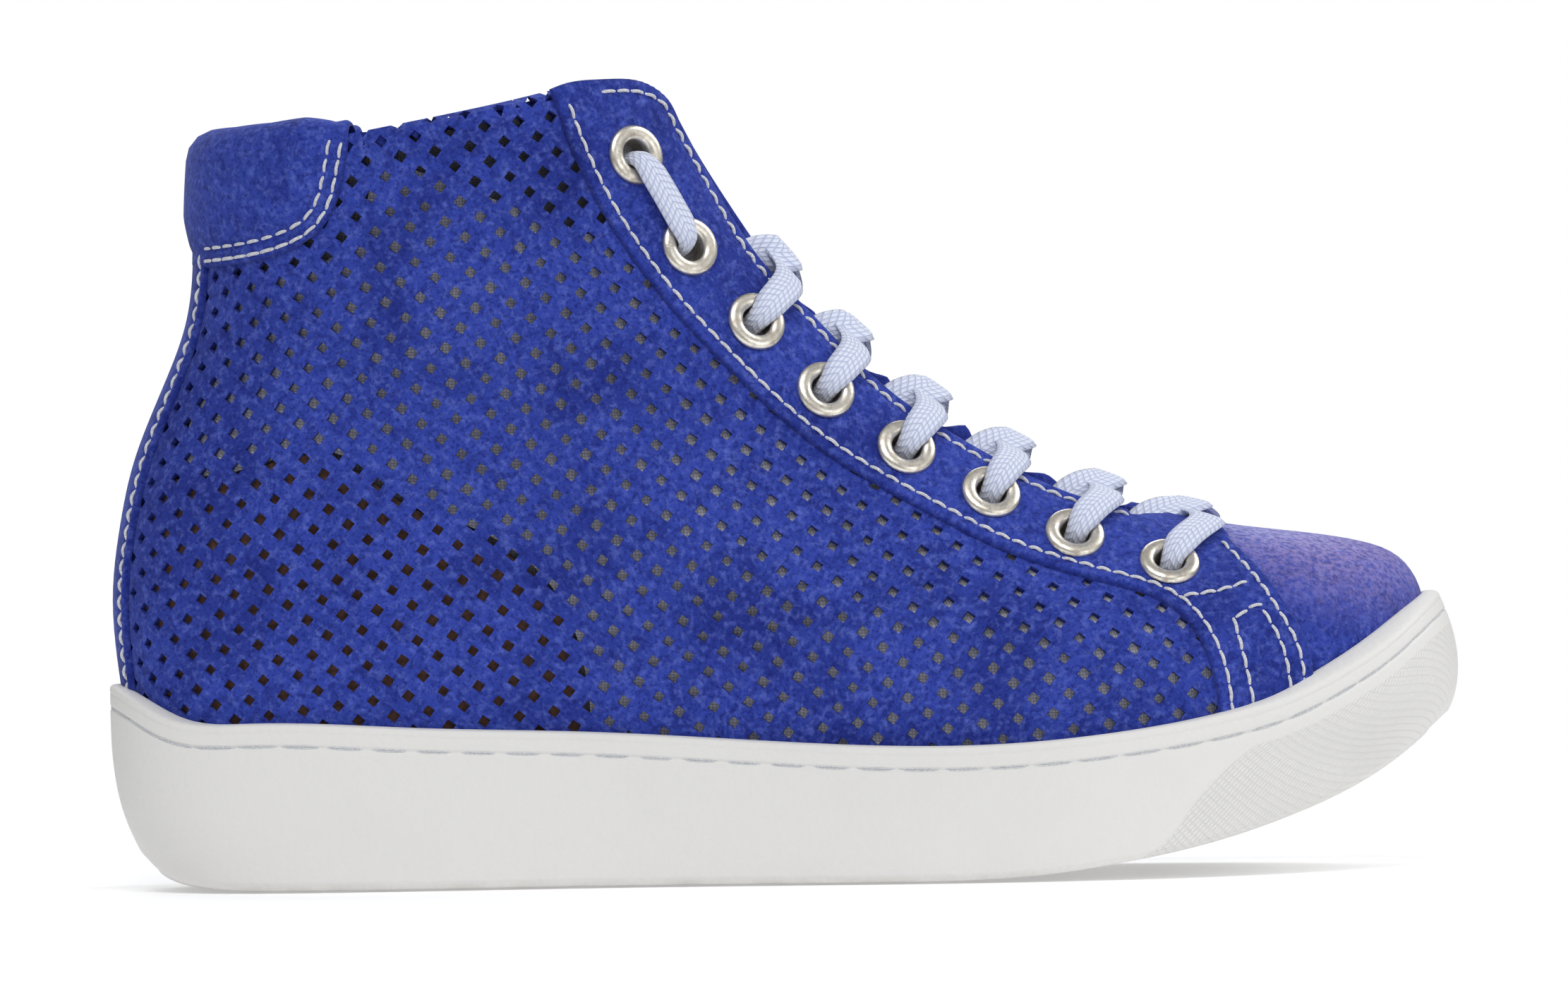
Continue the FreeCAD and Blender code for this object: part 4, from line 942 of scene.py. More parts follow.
# %% Cotton thread
def fibre_material(name, colour, shade, scale, rough=0.85, bump=0.3, sheen=0.2):
    """Thread and cloth without a visible weave: soft, slightly uneven, a little fuzzy."""
    material, tree, shader = start_material(name)
    where = add(tree, "ShaderNodeTexCoord").outputs["Object"]
    fine, broad = noise(tree, where, scale, 3.0, 0.6), noise(tree, where, scale * 0.06, 3.0)
    tone = blend_colour(tree, band(tree, fine, 0.35, 0.7), shade, colour)
    tone = blend_colour(tree, band(tree, broad, 0.55, 0.8, 0.0, 0.35), tone, shade)
    relief = add(tree, "ShaderNodeBump", {"Strength": bump, "Distance": 0.0003, "Height": fine})
    plug(tree, shader, {"Base Color": tone, "Roughness": rough, "Normal": relief.outputs[0],
                        "Sheen Weight": sheen, "Sheen Roughness": 0.5})
    return material


white_thread = fibre_material("white_thread", rgba(0.80, 0.80, 0.82), rgba(0.45, 0.46, 0.52), 2600.0)
sole_thread = fibre_material("sole_thread", rgba(0.70, 0.71, 0.72), rgba(0.50, 0.51, 0.53), 2600.0)
upper_marks = []
UPPER_PITCH = 3.6
for seam_rows, depth in ((facing_rows, 1.28), (strip_rows, 1.13), (collar_rows, 1.15)):
    for row in seam_rows:
        sewn_line = lasted(row[:, 0], row[:, 1], depth)
        upper_marks.append(marks_on(sewn_line, outward(row[:, 0], row[:, 1]), UPPER_PITCH))
upper_thread = sew("upper_thread", upper_marks, white_thread)

# %% [markdown]
# ## Eyelets
# An eyelet is a rolled rim with a barrel. The tree bends a grid round into that shape by formula, so that
# the rim's width, crown and bore are inputs, and sets it on the sixteen marked holes.

# %% The eyelet tree
rolled, rolled_in, rolled_out = new_group("rolled_eyelet", "GeometryNodeTree", [
    ("Places", GEOMETRY, None), ("Outer", FLOAT, 0.0062), ("Bore", FLOAT, 0.0031), ("Crown", FLOAT, 0.0012),
    ("Barrel", FLOAT, 0.0054), ("Material", "NodeSocketMaterial", None)], [("Eyelets", GEOMETRY)])
flat_grid = add(rolled, "GeometryNodeMeshGrid",
                {"Vertices X": 45, "Vertices Y": 15, "Size X": 1.0, "Size Y": 1.0}).outputs[0]
spot = add(rolled, "ShaderNodeSeparateXYZ", {0: add(rolled, "GeometryNodeInputPosition").outputs[0]}).outputs
turn = calc(rolled, "MULTIPLY", spot["X"], 2.0 * math.pi)
down = calc(rolled, "ADD", spot["Y"], 0.5)
roll = calc(rolled, "MULTIPLY", calc(rolled, "MINIMUM", calc(rolled, "DIVIDE", down, 0.72), 1.0), math.pi)
middle = calc(rolled, "MULTIPLY", calc(rolled, "ADD", rolled_in["Outer"], rolled_in["Bore"]), 0.5)
half_rim = calc(rolled, "MULTIPLY", calc(rolled, "SUBTRACT", rolled_in["Outer"], rolled_in["Bore"]), 0.5)
radius = calc(rolled, "ADD", middle, calc(rolled, "MULTIPLY", half_rim, calc(rolled, "COSINE", roll)))
crest = calc(rolled, "MULTIPLY", rolled_in["Crown"], calc(rolled, "POWER", calc(rolled, "MAXIMUM", calc(
    rolled, "SINE", roll), 0.0), 0.7))
sunk = calc(rolled, "MULTIPLY", rolled_in["Barrel"], calc(rolled, "DIVIDE", calc(rolled, "MAXIMUM", calc(
    rolled, "SUBTRACT", down, 0.72), 0.0), 0.28))
bent = add(rolled, "ShaderNodeCombineXYZ",
           {"X": calc(rolled, "MULTIPLY", radius, calc(rolled, "COSINE", turn)),
            "Y": calc(rolled, "MULTIPLY", radius, calc(rolled, "SINE", turn)),
            "Z": calc(rolled, "SUBTRACT", crest, sunk)}).outputs[0]
ring = add(rolled, "GeometryNodeSetPosition", {"Geometry": flat_grid, "Position": bent}).outputs[0]
ring = add(rolled, "GeometryNodeMergeByDistance", {"Geometry": ring, "Distance": 0.00002}).outputs[0]
ring = add(rolled, "GeometryNodeSetShadeSmooth", {"Geometry": ring, "Shade Smooth": True},
           domain="FACE").outputs[0]
stance = add(rolled, "FunctionNodeAxesToRotation", {"Primary Axis": named(rolled, "out", "FLOAT_VECTOR"),
                                                    "Secondary Axis": named(rolled, "ahead", "FLOAT_VECTOR")},
             primary_axis="Z", secondary_axis="X").outputs[0]
set_in = add(rolled, "GeometryNodeInstanceOnPoints", {"Points": rolled_in["Places"], "Instance": ring,
                                                      "Rotation": stance}).outputs[0]
set_in = add(rolled, "GeometryNodeRealizeInstances", {0: set_in}).outputs[0]
set_in = add(rolled, "GeometryNodeSetMaterial",
             {"Geometry": set_in, "Material": rolled_in["Material"]}).outputs[0]
rolled.links.new(set_in, rolled_out["Eyelets"])


# %% Worn nickel
def metal_material(name, colour, dull, rough, wear_scale=420.0):
    material, tree, shader = start_material(name)
    where = add(tree, "ShaderNodeTexCoord").outputs["Object"]
    wear = noise(tree, where, wear_scale, 4.0, 0.6)
    scratch = noise(tree, where, wear_scale * 5.0, 2.0, 0.5, 2.0)
    tone = blend_colour(tree, band(tree, wear, 0.48, 0.72), colour, dull)
    relief = add(tree, "ShaderNodeBump", {"Strength": 0.12, "Distance": 0.0002, "Height": scratch})
    plug(tree, shader, {"Base Color": tone, "Metallic": 1.0,
                        "Roughness": band(tree, wear, 0.4, 0.7, rough, rough + 0.22),
                        "Normal": relief.outputs[0]})
    return material


nickel = metal_material("worn_nickel", rgba(0.80, 0.75, 0.66), rgba(0.42, 0.37, 0.31), 0.26)
eyelet_marks = []
for side in (False, True):
    uv = eyelet_uv[side]
    eyelet_marks.append(np.concatenate([lasted(uv[:, 0], uv[:, 1], 1.42),
                                        unit(slopes_of_skin(uv[:, 0], uv[:, 1])[0]),
                                        outward(uv[:, 0], uv[:, 1])], -1))
eyelet_marks = np.concatenate(eyelet_marks)
eyelets = holder("eyelets", eyelet_marks[:, :3], [("ahead", "FLOAT_VECTOR", eyelet_marks[:, 3:6]),
                                                  ("out", "FLOAT_VECTOR", eyelet_marks[:, 6:])])
run_tree(eyelets, rolled, {"Material": nickel})
print("eyelets:", len(eyelets.data.polygons), "faces")

# %% [markdown]
# ## Laces
# A flat lace twists as it leaves a hole: it stands on edge in the bore and lies flat over the throat. So
# each run from hole to hole is a ribbon swept through a few stations that also say which way its width
# lies, how wide it is and how much it curls. A curve with a round bevel couldn't lie flat.

# %% Ribbon runs
GAPS = curve_of([(0.32, 17.0), (0.46, 17.0), (0.52, 15.8), (0.59, 14.3), (0.66, 11.8), (0.77, 10.6),
                 (0.84, 12.0)])


def over_ridge(v, sideways, depth):
    """A point a distance sideways from the middle of the throat, with the way out there."""
    width = float(spline_weights(WIDTH_ROWS, v) @ WIDTHS[:, -1])
    u = 1.0 + sideways / (math.pi * width * math.sqrt(1.0 + float(fullness_of(v))))
    return skin(u, v)[0] + outward(u, v)[0] * depth, outward(u, v)[0]


def at_hole(uv, depth, toward=None, ahead=0.0):
    """A point on an eyelet's axis, or a little way from it towards another point."""
    base, out = skin(*uv)[0], outward(*uv)[0]
    point = base + out * depth
    if toward is not None:
        aside = toward - base
        point = point + unit(aside - out * (aside @ out)) * ahead
    return point, out


def ribbon(stations, thickness=1.25, spacing=0.75):
    """Sweeps a flat closed section; a station is (point, out, heading, width, curl)."""
    centre = np.array([s[0] for s in stations])
    across = unit(np.array([np.cross(s[1], s[2]) for s in stations]))
    reach = np.concatenate([[0.0], np.cumsum(np.linalg.norm(np.diff(centre, axis=0), axis=1))])
    at = np.linspace(0.0, reach[-1], int(reach[-1] / spacing) + 2)
    weights = spline_weights(reach, at)
    line = weights @ centre
    blend = lambda values: np.stack([np.interp(at, reach, column) for column in np.asarray(values, float).T],
                                    -1)
    ahead = unit(np.gradient(line, axis=0))
    wide = blend(across)
    wide = unit(wide - ahead * (wide * ahead).sum(1, keepdims=True))
    up = np.cross(ahead, wide)
    width, curl = blend([s[3:5] for s in stations]).T
    x = np.concatenate([np.linspace(-1, 1, 8), np.linspace(1, -1, 8)[1:-1]])
    side = np.concatenate([np.ones(8), -np.ones(6)])
    z = side * thickness / 2.0 * np.sqrt(np.maximum(1.0 - np.abs(x) ** 5, 0.0))
    bend = -curl[:, None] * (x**2 - 0.3)
    beside = wide[:, None] * (x * width[:, None] / 2.0)[..., None]
    points = line[:, None] + beside + up[:, None] * (z + bend)[..., None]
    length = np.concatenate([[0.0], np.cumsum(np.linalg.norm(np.diff(line, axis=0), axis=1))])
    return points, x, length


def sweep(name, runs):
    """One mesh of many swept runs, with a braid map: across the lace, and along it in millimetres."""
    vertices, faces, across, along = [], [], [], []
    for points, x, length in runs:
        first, (rows, columns) = sum(len(v) for v in vertices), points.shape[:2]
        vertices.append(points.reshape(-1, 3))
        across.append(np.tile(x, rows))
        along.append(np.repeat(length, columns))
        for i in range(rows - 1):
            for j in range(columns):
                k = (j + 1) % columns
                faces.append((first + i * columns + j, first + i * columns + k, first + (i + 1) * columns + k,
                              first + (i + 1) * columns + j))
        faces.append(tuple(first + j for j in reversed(range(columns))))
        faces.append(tuple(first + (rows - 1) * columns + j for j in range(columns)))
    mesh = bpy.data.meshes.new(name)
    mesh.from_pydata((np.concatenate(vertices) * MM).tolist(), [], faces)
    flat = np.stack([np.concatenate(across), np.concatenate(along)], -1)
    corner = np.zeros(len(mesh.loops), np.int32)
    mesh.loops.foreach_get("vertex_index", corner)
    mesh.uv_layers.new(name="braid").data.foreach_set("uv", flat[corner].astype(np.float32).ravel())
    mesh.polygons.foreach_set("use_smooth", np.ones(len(mesh.polygons), bool))
    piece = bpy.data.objects.new(name, mesh)
    bpy.context.scene.collection.objects.link(piece)
    return piece


def crossing(low, high, medial, over):
    """The run that comes out of one hole, crosses the throat and goes under to the next hole up."""
    side = 1.0 if medial else -1.0
    shares = (0.72, 0.5, 0.30) if low[1] > 0.39 else (0.66, 0.34, 0.06)
    lip_v, middle_v, tuck_v = (high[1] + (low[1] - high[1]) * share for share in shares)
    rise = 3.2 if over else 0.9
    lip = over_ridge(lip_v, side * float(GAPS(lip_v)), 3.2)
    flat_run = [lip, over_ridge(middle_v, side * 4.0, rise), over_ridge(middle_v, -side * 4.0, rise),
                over_ridge(tuck_v, -side * (float(GAPS(tuck_v)) - 3.0), -1.6 if over else -2.4),
                over_ridge(tuck_v, -side * (float(GAPS(tuck_v)) + 1.5), -4.9)]
    heading = unit(flat_run[2][0] - flat_run[1][0])
    leave = unit(lip[0] - skin(*low)[0])
    arrive = unit(skin(*high)[0] - flat_run[3][0])
    widths = [7.6, 8.4, 8.4, 7.6, 6.4]
    stations = [(*at_hole(low, -6.0), leave, 4.6, 1.0), (*at_hole(low, -0.5), leave, 4.6, 1.2),
                (*at_hole(low, 2.7, lip[0], 1.2), leave, 5.0, 0.9),
                (*at_hole(low, 3.7, lip[0], 4.6), leave, 6.6, 0.35)]
    headings = [leave, heading, heading, unit(heading + arrive), arrive]
    stations += [(*spot, way, width, 0.15) for spot, way, width in zip(flat_run, headings, widths)]
    stations += [(*at_hole(high, -6.4, flat_run[3][0], 4.0), arrive, 5.4, 0.5),
                 (*at_hole(high, -6.0), arrive, 4.6, 1.0)]
    return ribbon(stations)


def top_run_of(medial):
    """Out of the second hole, up to the first and in, then down inside the shaft to the lace's end."""
    second, first = eyelet_uv[medial][1], eyelet_uv[medial][0]
    lower, upper = skin(*second)[0], skin(*first)[0]
    way = unit(upper - lower)
    stations = [(*at_hole(second, -6.0), way, 4.6, 1.0), (*at_hole(second, -0.5), way, 4.6, 1.2),
                (*at_hole(second, 2.8, upper, 1.2), way, 5.0, 0.9),
                (*at_hole(second, 3.9, upper, 5.0), way, 6.4, 0.4),
                (*at_hole(first, 3.9, lower, 5.0), way, 6.4, 0.4),
                (*at_hole(first, 2.8, lower, 1.2), way, 5.0, 0.9), (*at_hole(first, -0.5), way, 4.6, 1.2),
                (*at_hole(first, -5.4), way, 4.8, 1.0)]
    station, height = EYELET_CENTRES[0]
    for along, down, depth in ((2.0, -13.0, -7.0), (-4.0, -30.0, -9.0), (-10.0, -52.0, -10.5),
                               (-13.0, -76.0, -12.0)):
        uv = under(station + along, height + down, medial)
        stations.append((skin(*uv)[0] + outward(*uv)[0] * depth, outward(*uv)[0], -slopes_of_skin(*uv)[1][0],
                         7.0, 0.2))
    return ribbon(stations)


# %% Lace the shoe
runs = []
for n in range(7, 1, -1):
    for medial in (False, True):
        runs.append(crossing(eyelet_uv[medial][n], eyelet_uv[not medial][n - 1], medial, over=medial))
runs += [top_run_of(False), top_run_of(True)]
bar = [(*at_hole(eyelet_uv[False][7], -6.2), 5.0, 0.5)] + [
    (*over_ridge(0.40, sideways, -6.9), 7.0, 0.2) for sideways in (-17.0, -7.0, 7.0, 17.0)] + [
    (*at_hole(eyelet_uv[True][7], -6.2), 5.0, 0.5)]
runs.append(ribbon([(point, out, Vector((0.0, 1.0, 0.0)), width, curl) for point, out, width, curl in bar]))
laces = sweep("laces", runs)
lace_length = sum(run[2][-1] for run in runs)
print(f"laces: {lace_length:.0f} mm of ribbon in {len(runs)} runs, {len(laces.data.polygons)} faces")

# %% The braid
braid, tree, shader = start_material("flat_braid")
split = add(tree, "ShaderNodeSeparateXYZ",
            {0: add(tree, "ShaderNodeUVMap", uv_map="braid").outputs[0]}).outputs
from_middle = calc(tree, "ABSOLUTE", split[0])
chevron = calc(tree, "ADD", calc(tree, "MULTIPLY", split[1], 0.62), calc(tree, "MULTIPLY", from_middle, 1.5))
ridges = calc(tree, "ABSOLUTE", calc(tree, "SINE", calc(tree, "MULTIPLY", chevron, math.pi)))
yarns = calc(tree, "ABSOLUTE", calc(tree, "SINE", calc(tree, "MULTIPLY", split[0], 4.0 * math.pi)))
plait = calc(tree, "MULTIPLY", calc(tree, "POWER", ridges, 0.6), calc(tree, "POWER", yarns, 0.4))
fluff = noise(tree, add(tree, "ShaderNodeTexCoord").outputs["Object"], 1800.0, 3.0, 0.6)
tone = blend_colour(tree, band(tree, plait, 0.15, 0.75), rgba(0.50, 0.55, 0.76), rgba(0.72, 0.77, 0.93))
tone = blend_colour(tree, band(tree, fluff, 0.5, 0.75, 0.0, 0.3), tone, rgba(0.60, 0.64, 0.80))
height = calc(tree, "ADD", plait, calc(tree, "MULTIPLY", fluff, 0.3))
relief = add(tree, "ShaderNodeBump", {"Strength": 0.7, "Distance": 0.0004, "Height": height})
plug(tree, shader, {"Base Color": tone, "Roughness": 0.8, "Normal": relief.outputs[0], "Sheen Weight": 0.25,
                    "Sheen Roughness": 0.5})
laces.data.materials.append(braid)

# %% [markdown]
# ## The cupsole
# The sole's wall is swept round the foot's plan: every point knows its height between the ground line and
# the rim, and a short profile across the wall makes the stitched groove, the thin lip and the rolled rim.
# A sculpted mesh would allow dents, but this keeps the rim exactly on the upper all the way round.

# %% The sole's own lines
ground_height = curve_of([(172.0, 0.0), (189.0, 0.9), (206.0, 3.1), (223.0, 6.4), (240.0, 11.5),
                          (252.0, 16.3), (263.0, 22.4), (272.0, 29.0)])
heel_rounding = curve_of([(4.0, 8.0), (10.0, 3.2), (17.0, 0.9), (28.0, 0.0)])
wall_line = curve_of([(-4.0, 10.5, 252.0, 0.945), (0.0, 9.5, 255.0, 0.968), (4.0, 7.6, 258.0, 0.99),
                      (9.0, 5.0, 261.0, 1.0), (16.0, 2.2, 264.5, 0.995), (24.0, 0.6, 268.5, 0.98),
                      (30.0, 0.1, 273.2, 0.967), (38.0, 0.0, 276.0, 0.955), (46.0, 0.1, 275.6, 0.945),
                      (54.0, 0.6, 273.0, 0.935), (64.0, 1.6, 268.0, 0.925)])
SOLE_WIDTHS, SOLE_FULLNESS = np.array([38.8, 36.6, 35.0, 43.8, 49.6, 43.0]), 2.8


def low_line(station):
    """Height of the sole's underside along its length."""
    toe = np.where(station > 172.0, ground_height(np.clip(station, 172.0, 273.0)), 0.0)
    return np.where(station < 28.0, heel_rounding(np.clip(station, 2.0, 28.0)), toe)


def wall_point(u, height, inset=0.0):
    """A point of the wall at u half turns round from the heel; inset moves it into the rubber."""
    heel, toe, share = np.moveaxis(wall_line(height), -1, 0)
    heel, toe = heel + inset, toe - inset
    part = (1.0 - np.cos(np.pi * u)) / 2.0
    station = heel + (toe - heel) * part
    turn = np.sin(np.pi * u)
    turn = turn * np.sqrt(1.0 + SOLE_FULLNESS) / np.sqrt(1.0 + SOLE_FULLNESS * turn * turn)
    side = ((spline_weights(WIDTH_SHARES, part) @ SOLE_WIDTHS) * share - inset) * turn
    return in_frame(station, swing(station) - side, height)


def between(u, share, inset=0.0, drop=0.0):
    """A point of the wall at a share of the way from the ground line to the rim, lowered by drop."""
    height = np.full(u.shape, 20.0)
    for _ in range(12):
        station = wall_point(u, height)[..., 0] + LENGTH / 2.0
        low, high = low_line(station), rim_height(station)
        height = low + (high - low) * share - drop
    return wall_point(u, height, inset)


def lasted_at(u, height, depth):
    """The lasted upper's outline at one height, for the rim to lie on."""
    low, high = np.zeros(u.shape), np.full(u.shape, 0.7)
    for _ in range(22):
        v = (low + high) / 2.0
        below = (skin(u, v) + outward(u, v) * depth)[..., 2] < height
        low, high = np.where(below, v, low), np.where(below, high, v)
    return skin(u, high) + outward(u, high) * depth


# %% Sweep the wall
around = np.linspace(0.0, 2.0, 641)[:-1]
around = around + 0.035 * np.sin(2.0 * np.pi * around) / (2.0 * np.pi)
ones = np.ones_like(around)
STITCH_DROP = 4.65
rim_top = between(around, ones)
rim_inner = lasted_at(around, rim_top[:, 2], 0.15)
profile = [(0.0, 1.6, 0.0), (0.0, 0.7, -0.35), (0.0, 0.0, -1.4)]
rows = [between(around, ones * share, inset, drop) for share, inset, drop in profile]
for share in np.linspace(0.06, 0.64, 15):
    rows.append(between(around, ones * share, 0.0, 0.0))
for drop, inset in ((7.4, 0.0), (6.2, 0.0), (5.4, 0.0), (5.15, 0.08), (4.95, 0.26), (4.75, 0.36),
                    (4.55, 0.36), (4.35, 0.26), (4.15, 0.08), (3.9, 0.0), (3.0, 0.0), (2.3, 0.0), (1.85, 0.0),
                    (1.65, 0.1), (1.45, 0.0), (0.9, -0.04), (0.45, 0.06), (0.15, 0.35)):
    rows.append(between(around, ones, inset, drop))
outer = rows[-1]
for share, lift in ((0.15, 0.14), (0.4, 0.2), (0.7, 0.12), (0.92, -0.15), (1.0, -0.5)):
    point = outer + (rim_inner - outer) * share
    point[:, 2] = rim_top[:, 2] + lift - 0.12
    rows.append(point)
for drop in (2.0, 5.0, 9.0):
    rows.append(lasted_at(around, rim_top[:, 2] - drop, 0.15))
inner_floor = between(around, ones * 0.0, 6.0, -5.0)
rows.append(inner_floor)


def spine(points, share):
    """The outline drawn in towards the foot's middle line."""
    middle = np.clip(points[:, 0], -118.0, 112.0)
    target = np.stack([middle, SIDE_SHIFT + swing(middle + LENGTH / 2.0), points[:, 2]], -1)
    drawn = points + (target - points) * share
    return drawn


inner_rows = []
for share in (0.35, 0.7, 1.0):
    drawn = spine(inner_floor, share)
    drawn[:, 2] = low_line(drawn[:, 0] + LENGTH / 2.0) + 5.0
    inner_rows.append(drawn)
under_rows = []
for share in (1.0, 0.75, 0.5, 0.25, 0.08):
    drawn = spine(rows[0], share)
    drawn[:, 2] = low_line(drawn[:, 0] + LENGTH / 2.0)
    under_rows.append(drawn)
rows = under_rows + rows + inner_rows
columns = len(around)
net = np.stack(rows)
faces = [(i * columns + j, i * columns + (j + 1) % columns, (i + 1) * columns + (j + 1) % columns,
          (i + 1) * columns + j) for i in range(len(rows) - 1) for j in range(columns)]
sole_mesh = bpy.data.meshes.new("sole")
sole_mesh.from_pydata((net.reshape(-1, 3) * MM).tolist(), [], faces)
points = net.reshape(-1, 3)
station, height = points[:, 0] + LENGTH / 2.0, points[:, 2]
bumper_edge = curve_of([(2.0, 205.0), (4.4, 209.9), (12.8, 218.5), (22.6, 227.8), (31.6, 240.4),
                        (40.0, 250.0)])
in_front = np.minimum(station - bumper_edge(np.clip(height, 2.0, 40.0)), rim_height(station) - 7.6 - height)
ahead_of = sole_mesh.attributes.new("bumper_mm", "FLOAT", "POINT")
ahead_of.data.foreach_set("value", in_front.astype(np.float32))
arc_steps = np.linalg.norm(np.diff(np.concatenate([rim_top, rim_top[:1]]), axis=0), axis=1)
arc = np.concatenate([[0.0], np.cumsum(arc_steps)])
depth_mm = np.concatenate([np.zeros((1, columns)),
                           np.cumsum(np.linalg.norm(np.diff(net, axis=0), axis=2), axis=0)])
wrap = np.array([[(arc[(k % columns)] if corner in (0, 3) else arc[(k % columns) + 1], depth_mm[
    (k // columns) + (corner > 1), ((k % columns) + (corner in (1, 2))) % columns]) for corner in range(4)]
                 for k in range(len(faces))])
sole_mesh.uv_layers.new(name="wrap").data.foreach_set("uv", wrap.astype(np.float32).ravel())
sole = bpy.data.objects.new("sole", sole_mesh)
bpy.context.scene.collection.objects.link(sole)
shape = bmesh.new()
shape.from_mesh(sole_mesh)
bmesh.ops.remove_doubles(shape, verts=shape.verts, dist=1e-5)
bmesh.ops.recalc_face_normals(shape, faces=shape.faces)
shape.to_mesh(sole_mesh)
shape.free()
sole_mesh.polygons.foreach_set("use_smooth", np.ones(len(sole_mesh.polygons), bool))
print(f"sole: {len(sole_mesh.polygons)} faces, wall {arc[-1]:.0f} mm round")

# %% The sole's stitching
SOLE_PITCH, STITCH_INSET, HALF_STRAND = 9.0, 0.42, 0.19
groove = between(around, ones, STITCH_INSET, STITCH_DROP)
groove = np.concatenate([groove, groove[:1]])
level = np.gradient(groove, axis=0)
sole_out = unit(np.cross(unit(level), np.array([0.0, 0.0, 1.0])))
sole_out *= np.sign((sole_out * (groove - groove.mean(0))).sum(1, keepdims=True))
strands = []
for offset in (-HALF_STRAND, HALF_STRAND):
    line = groove.copy()
    line[:, 2] += offset
    strands.append(marks_on(line, sole_out, SOLE_PITCH))
sole_stitches = sew("sole_stitches", strands, sole_thread, Length=0.0086, Thread=0.00022, Arch=0.0002)

# %% [markdown]
# ## Rubber
# The wall has a fine leather-like grain, and round the toe a moulded knurl that a bumper is given against
# scuffs. Both are relief in the shader: the grain from the object's coordinates, the knurl from the map
# that runs round the wall in millimetres, switched on by the distance the mesh carries.

# %% The rubber's material
rubber, tree, shader = start_material("grained_rubber")
where = add(tree, "ShaderNodeTexCoord").outputs["Object"]
cells = add(tree, "ShaderNodeTexVoronoi", {"Vector": where, "Scale": 760.0, "Randomness": 1.0},
            feature="F1").outputs["Distance"]
pebble = calc(tree, "ADD", calc(tree, "MULTIPLY", cells, -1.0),
              calc(tree, "MULTIPLY", noise(tree, where, 420.0, 3.0), 0.8))
flat = add(tree, "ShaderNodeSeparateXYZ", {0: add(tree, "ShaderNodeUVMap", uv_map="wrap").outputs[0]}).outputs
KNURL = math.pi / 1.7
slant = [calc(tree, "ABSOLUTE",
              calc(tree, "SINE", calc(tree, "MULTIPLY", calc(tree, way, flat[0], flat[1]), KNURL)))
         for way in ("ADD", "SUBTRACT")]
studs = calc(tree, "MINIMUM", slant[0], slant[1])
in_bumper = band(tree, add(tree, "ShaderNodeAttribute", attribute_name="bumper_mm").outputs["Fac"], -0.3, 0.3)
ridge = calc(tree, "MULTIPLY", calc(tree, "MINIMUM", studs, 0.6), 2.2)
relief_height = add(tree, "ShaderNodeMix", {0: in_bumper, 2: pebble, 3: ridge}, data_type="FLOAT").outputs[0]
relief = add(tree, "ShaderNodeBump",
             {"Strength": band(tree, in_bumper, 0.0, 1.0, 0.22, 0.45), "Distance": 0.0004,
              "Height": relief_height})
stain = noise(tree, where, 26.0, 4.0, 0.6)
tone = blend_colour(tree, band(tree, stain, 0.5, 0.8, 0.0, 0.5), rgba(0.745, 0.735, 0.715),
                    rgba(0.69, 0.68, 0.655))
# Painted shade: the knurl's valleys, which are only bump, are darkened in the colour.
knurl_valley_shade = calc(tree, "MULTIPLY", in_bumper, band(tree, studs, 0.2, 0.0, 0.0, 0.22))
tone = blend_colour(tree, knurl_valley_shade, tone, rgba(0.58, 0.57, 0.55))
# Darker towards the bottom: the lowest 2 mm of the wall darkens, broken by noise.
tall = add(tree, "ShaderNodeSeparateXYZ", {0: where}).outputs["Z"]
low_darkening = calc(tree, "MULTIPLY", band(tree, tall, 0.002, 0.0),
             band(tree, noise(tree, where, 160.0, 4.0), 0.4, 0.7, 0.1, 0.5))
tone = blend_colour(tree, low_darkening, tone, rgba(0.50, 0.48, 0.45))
plug(tree, shader, {"Base Color": tone, "Roughness": band(tree, stain, 0.3, 0.7, 0.52, 0.66),
                    "Normal": relief.outputs[0], "Specular IOR Level": 0.35})
sole.data.materials.append(rubber)
print("rubber:", len(tree.nodes), "nodes")

# %% [markdown]
# ## Cloth and foam inside
# The lining is cut with the same cutter, one piece round the heel from throat to throat and one over the
# toes. The tongue is a stitched pad: thin at its seam and full in its middle, where it rises between the
# laces. The footbed is a crowned slab that lifts out.

# %% A woven cloth
def cloth_material(name, colour, shade, pitch, rough=0.9, bump=0.5):
    """Plain weave from the object's coordinates; pitch is a thread's width in metres."""
    material, tree, shader = start_material(name)
    where = add(tree, "ShaderNodeTexCoord").outputs["Object"]
    axes = add(tree, "ShaderNodeSeparateXYZ", {0: where}).outputs
    warp = calc(tree, "SINE",
                calc(tree, "MULTIPLY", calc(tree, "ADD", axes["X"], axes["Y"]), math.pi / pitch))
    weft = calc(tree, "SINE", calc(tree, "MULTIPLY", calc(tree, "SUBTRACT", axes["Z"], calc(
        tree, "MULTIPLY", axes["Y"], 0.7)), math.pi / pitch))
    weave = calc(tree, "ABSOLUTE", calc(tree, "MULTIPLY", warp, weft))
    fluff = noise(tree, where, 0.35 / pitch, 3.0, 0.6)
    tone = blend_colour(tree, band(tree, weave, 0.0, 0.5), shade, colour)
    tone = blend_colour(tree, band(tree, fluff, 0.5, 0.8, 0.0, 0.4), tone, shade)
    height = calc(tree, "ADD", weave, calc(tree, "MULTIPLY", fluff, 0.4))
    relief = add(tree, "ShaderNodeBump", {"Strength": bump, "Distance": pitch * 0.4, "Height": height})
    plug(tree, shader, {"Base Color": tone, "Roughness": rough, "Normal": relief.outputs[0],
                        "Sheen Weight": 0.15})
    return material


lining_cloth = cloth_material("lining_cloth", rgba(0.30, 0.30, 0.32), rgba(0.15, 0.15, 0.17), 0.0006)

# %% The linings
def beside_ridge(v, sideways):
    """(u, v) at a distance sideways from the front line on each row."""
    width = spline_weights(WIDTH_ROWS, v) @ WIDTHS[:, -1]
    return np.stack([1.0 + sideways / (np.pi * width * np.sqrt(1.0 + fullness_of(v))), v], -1)


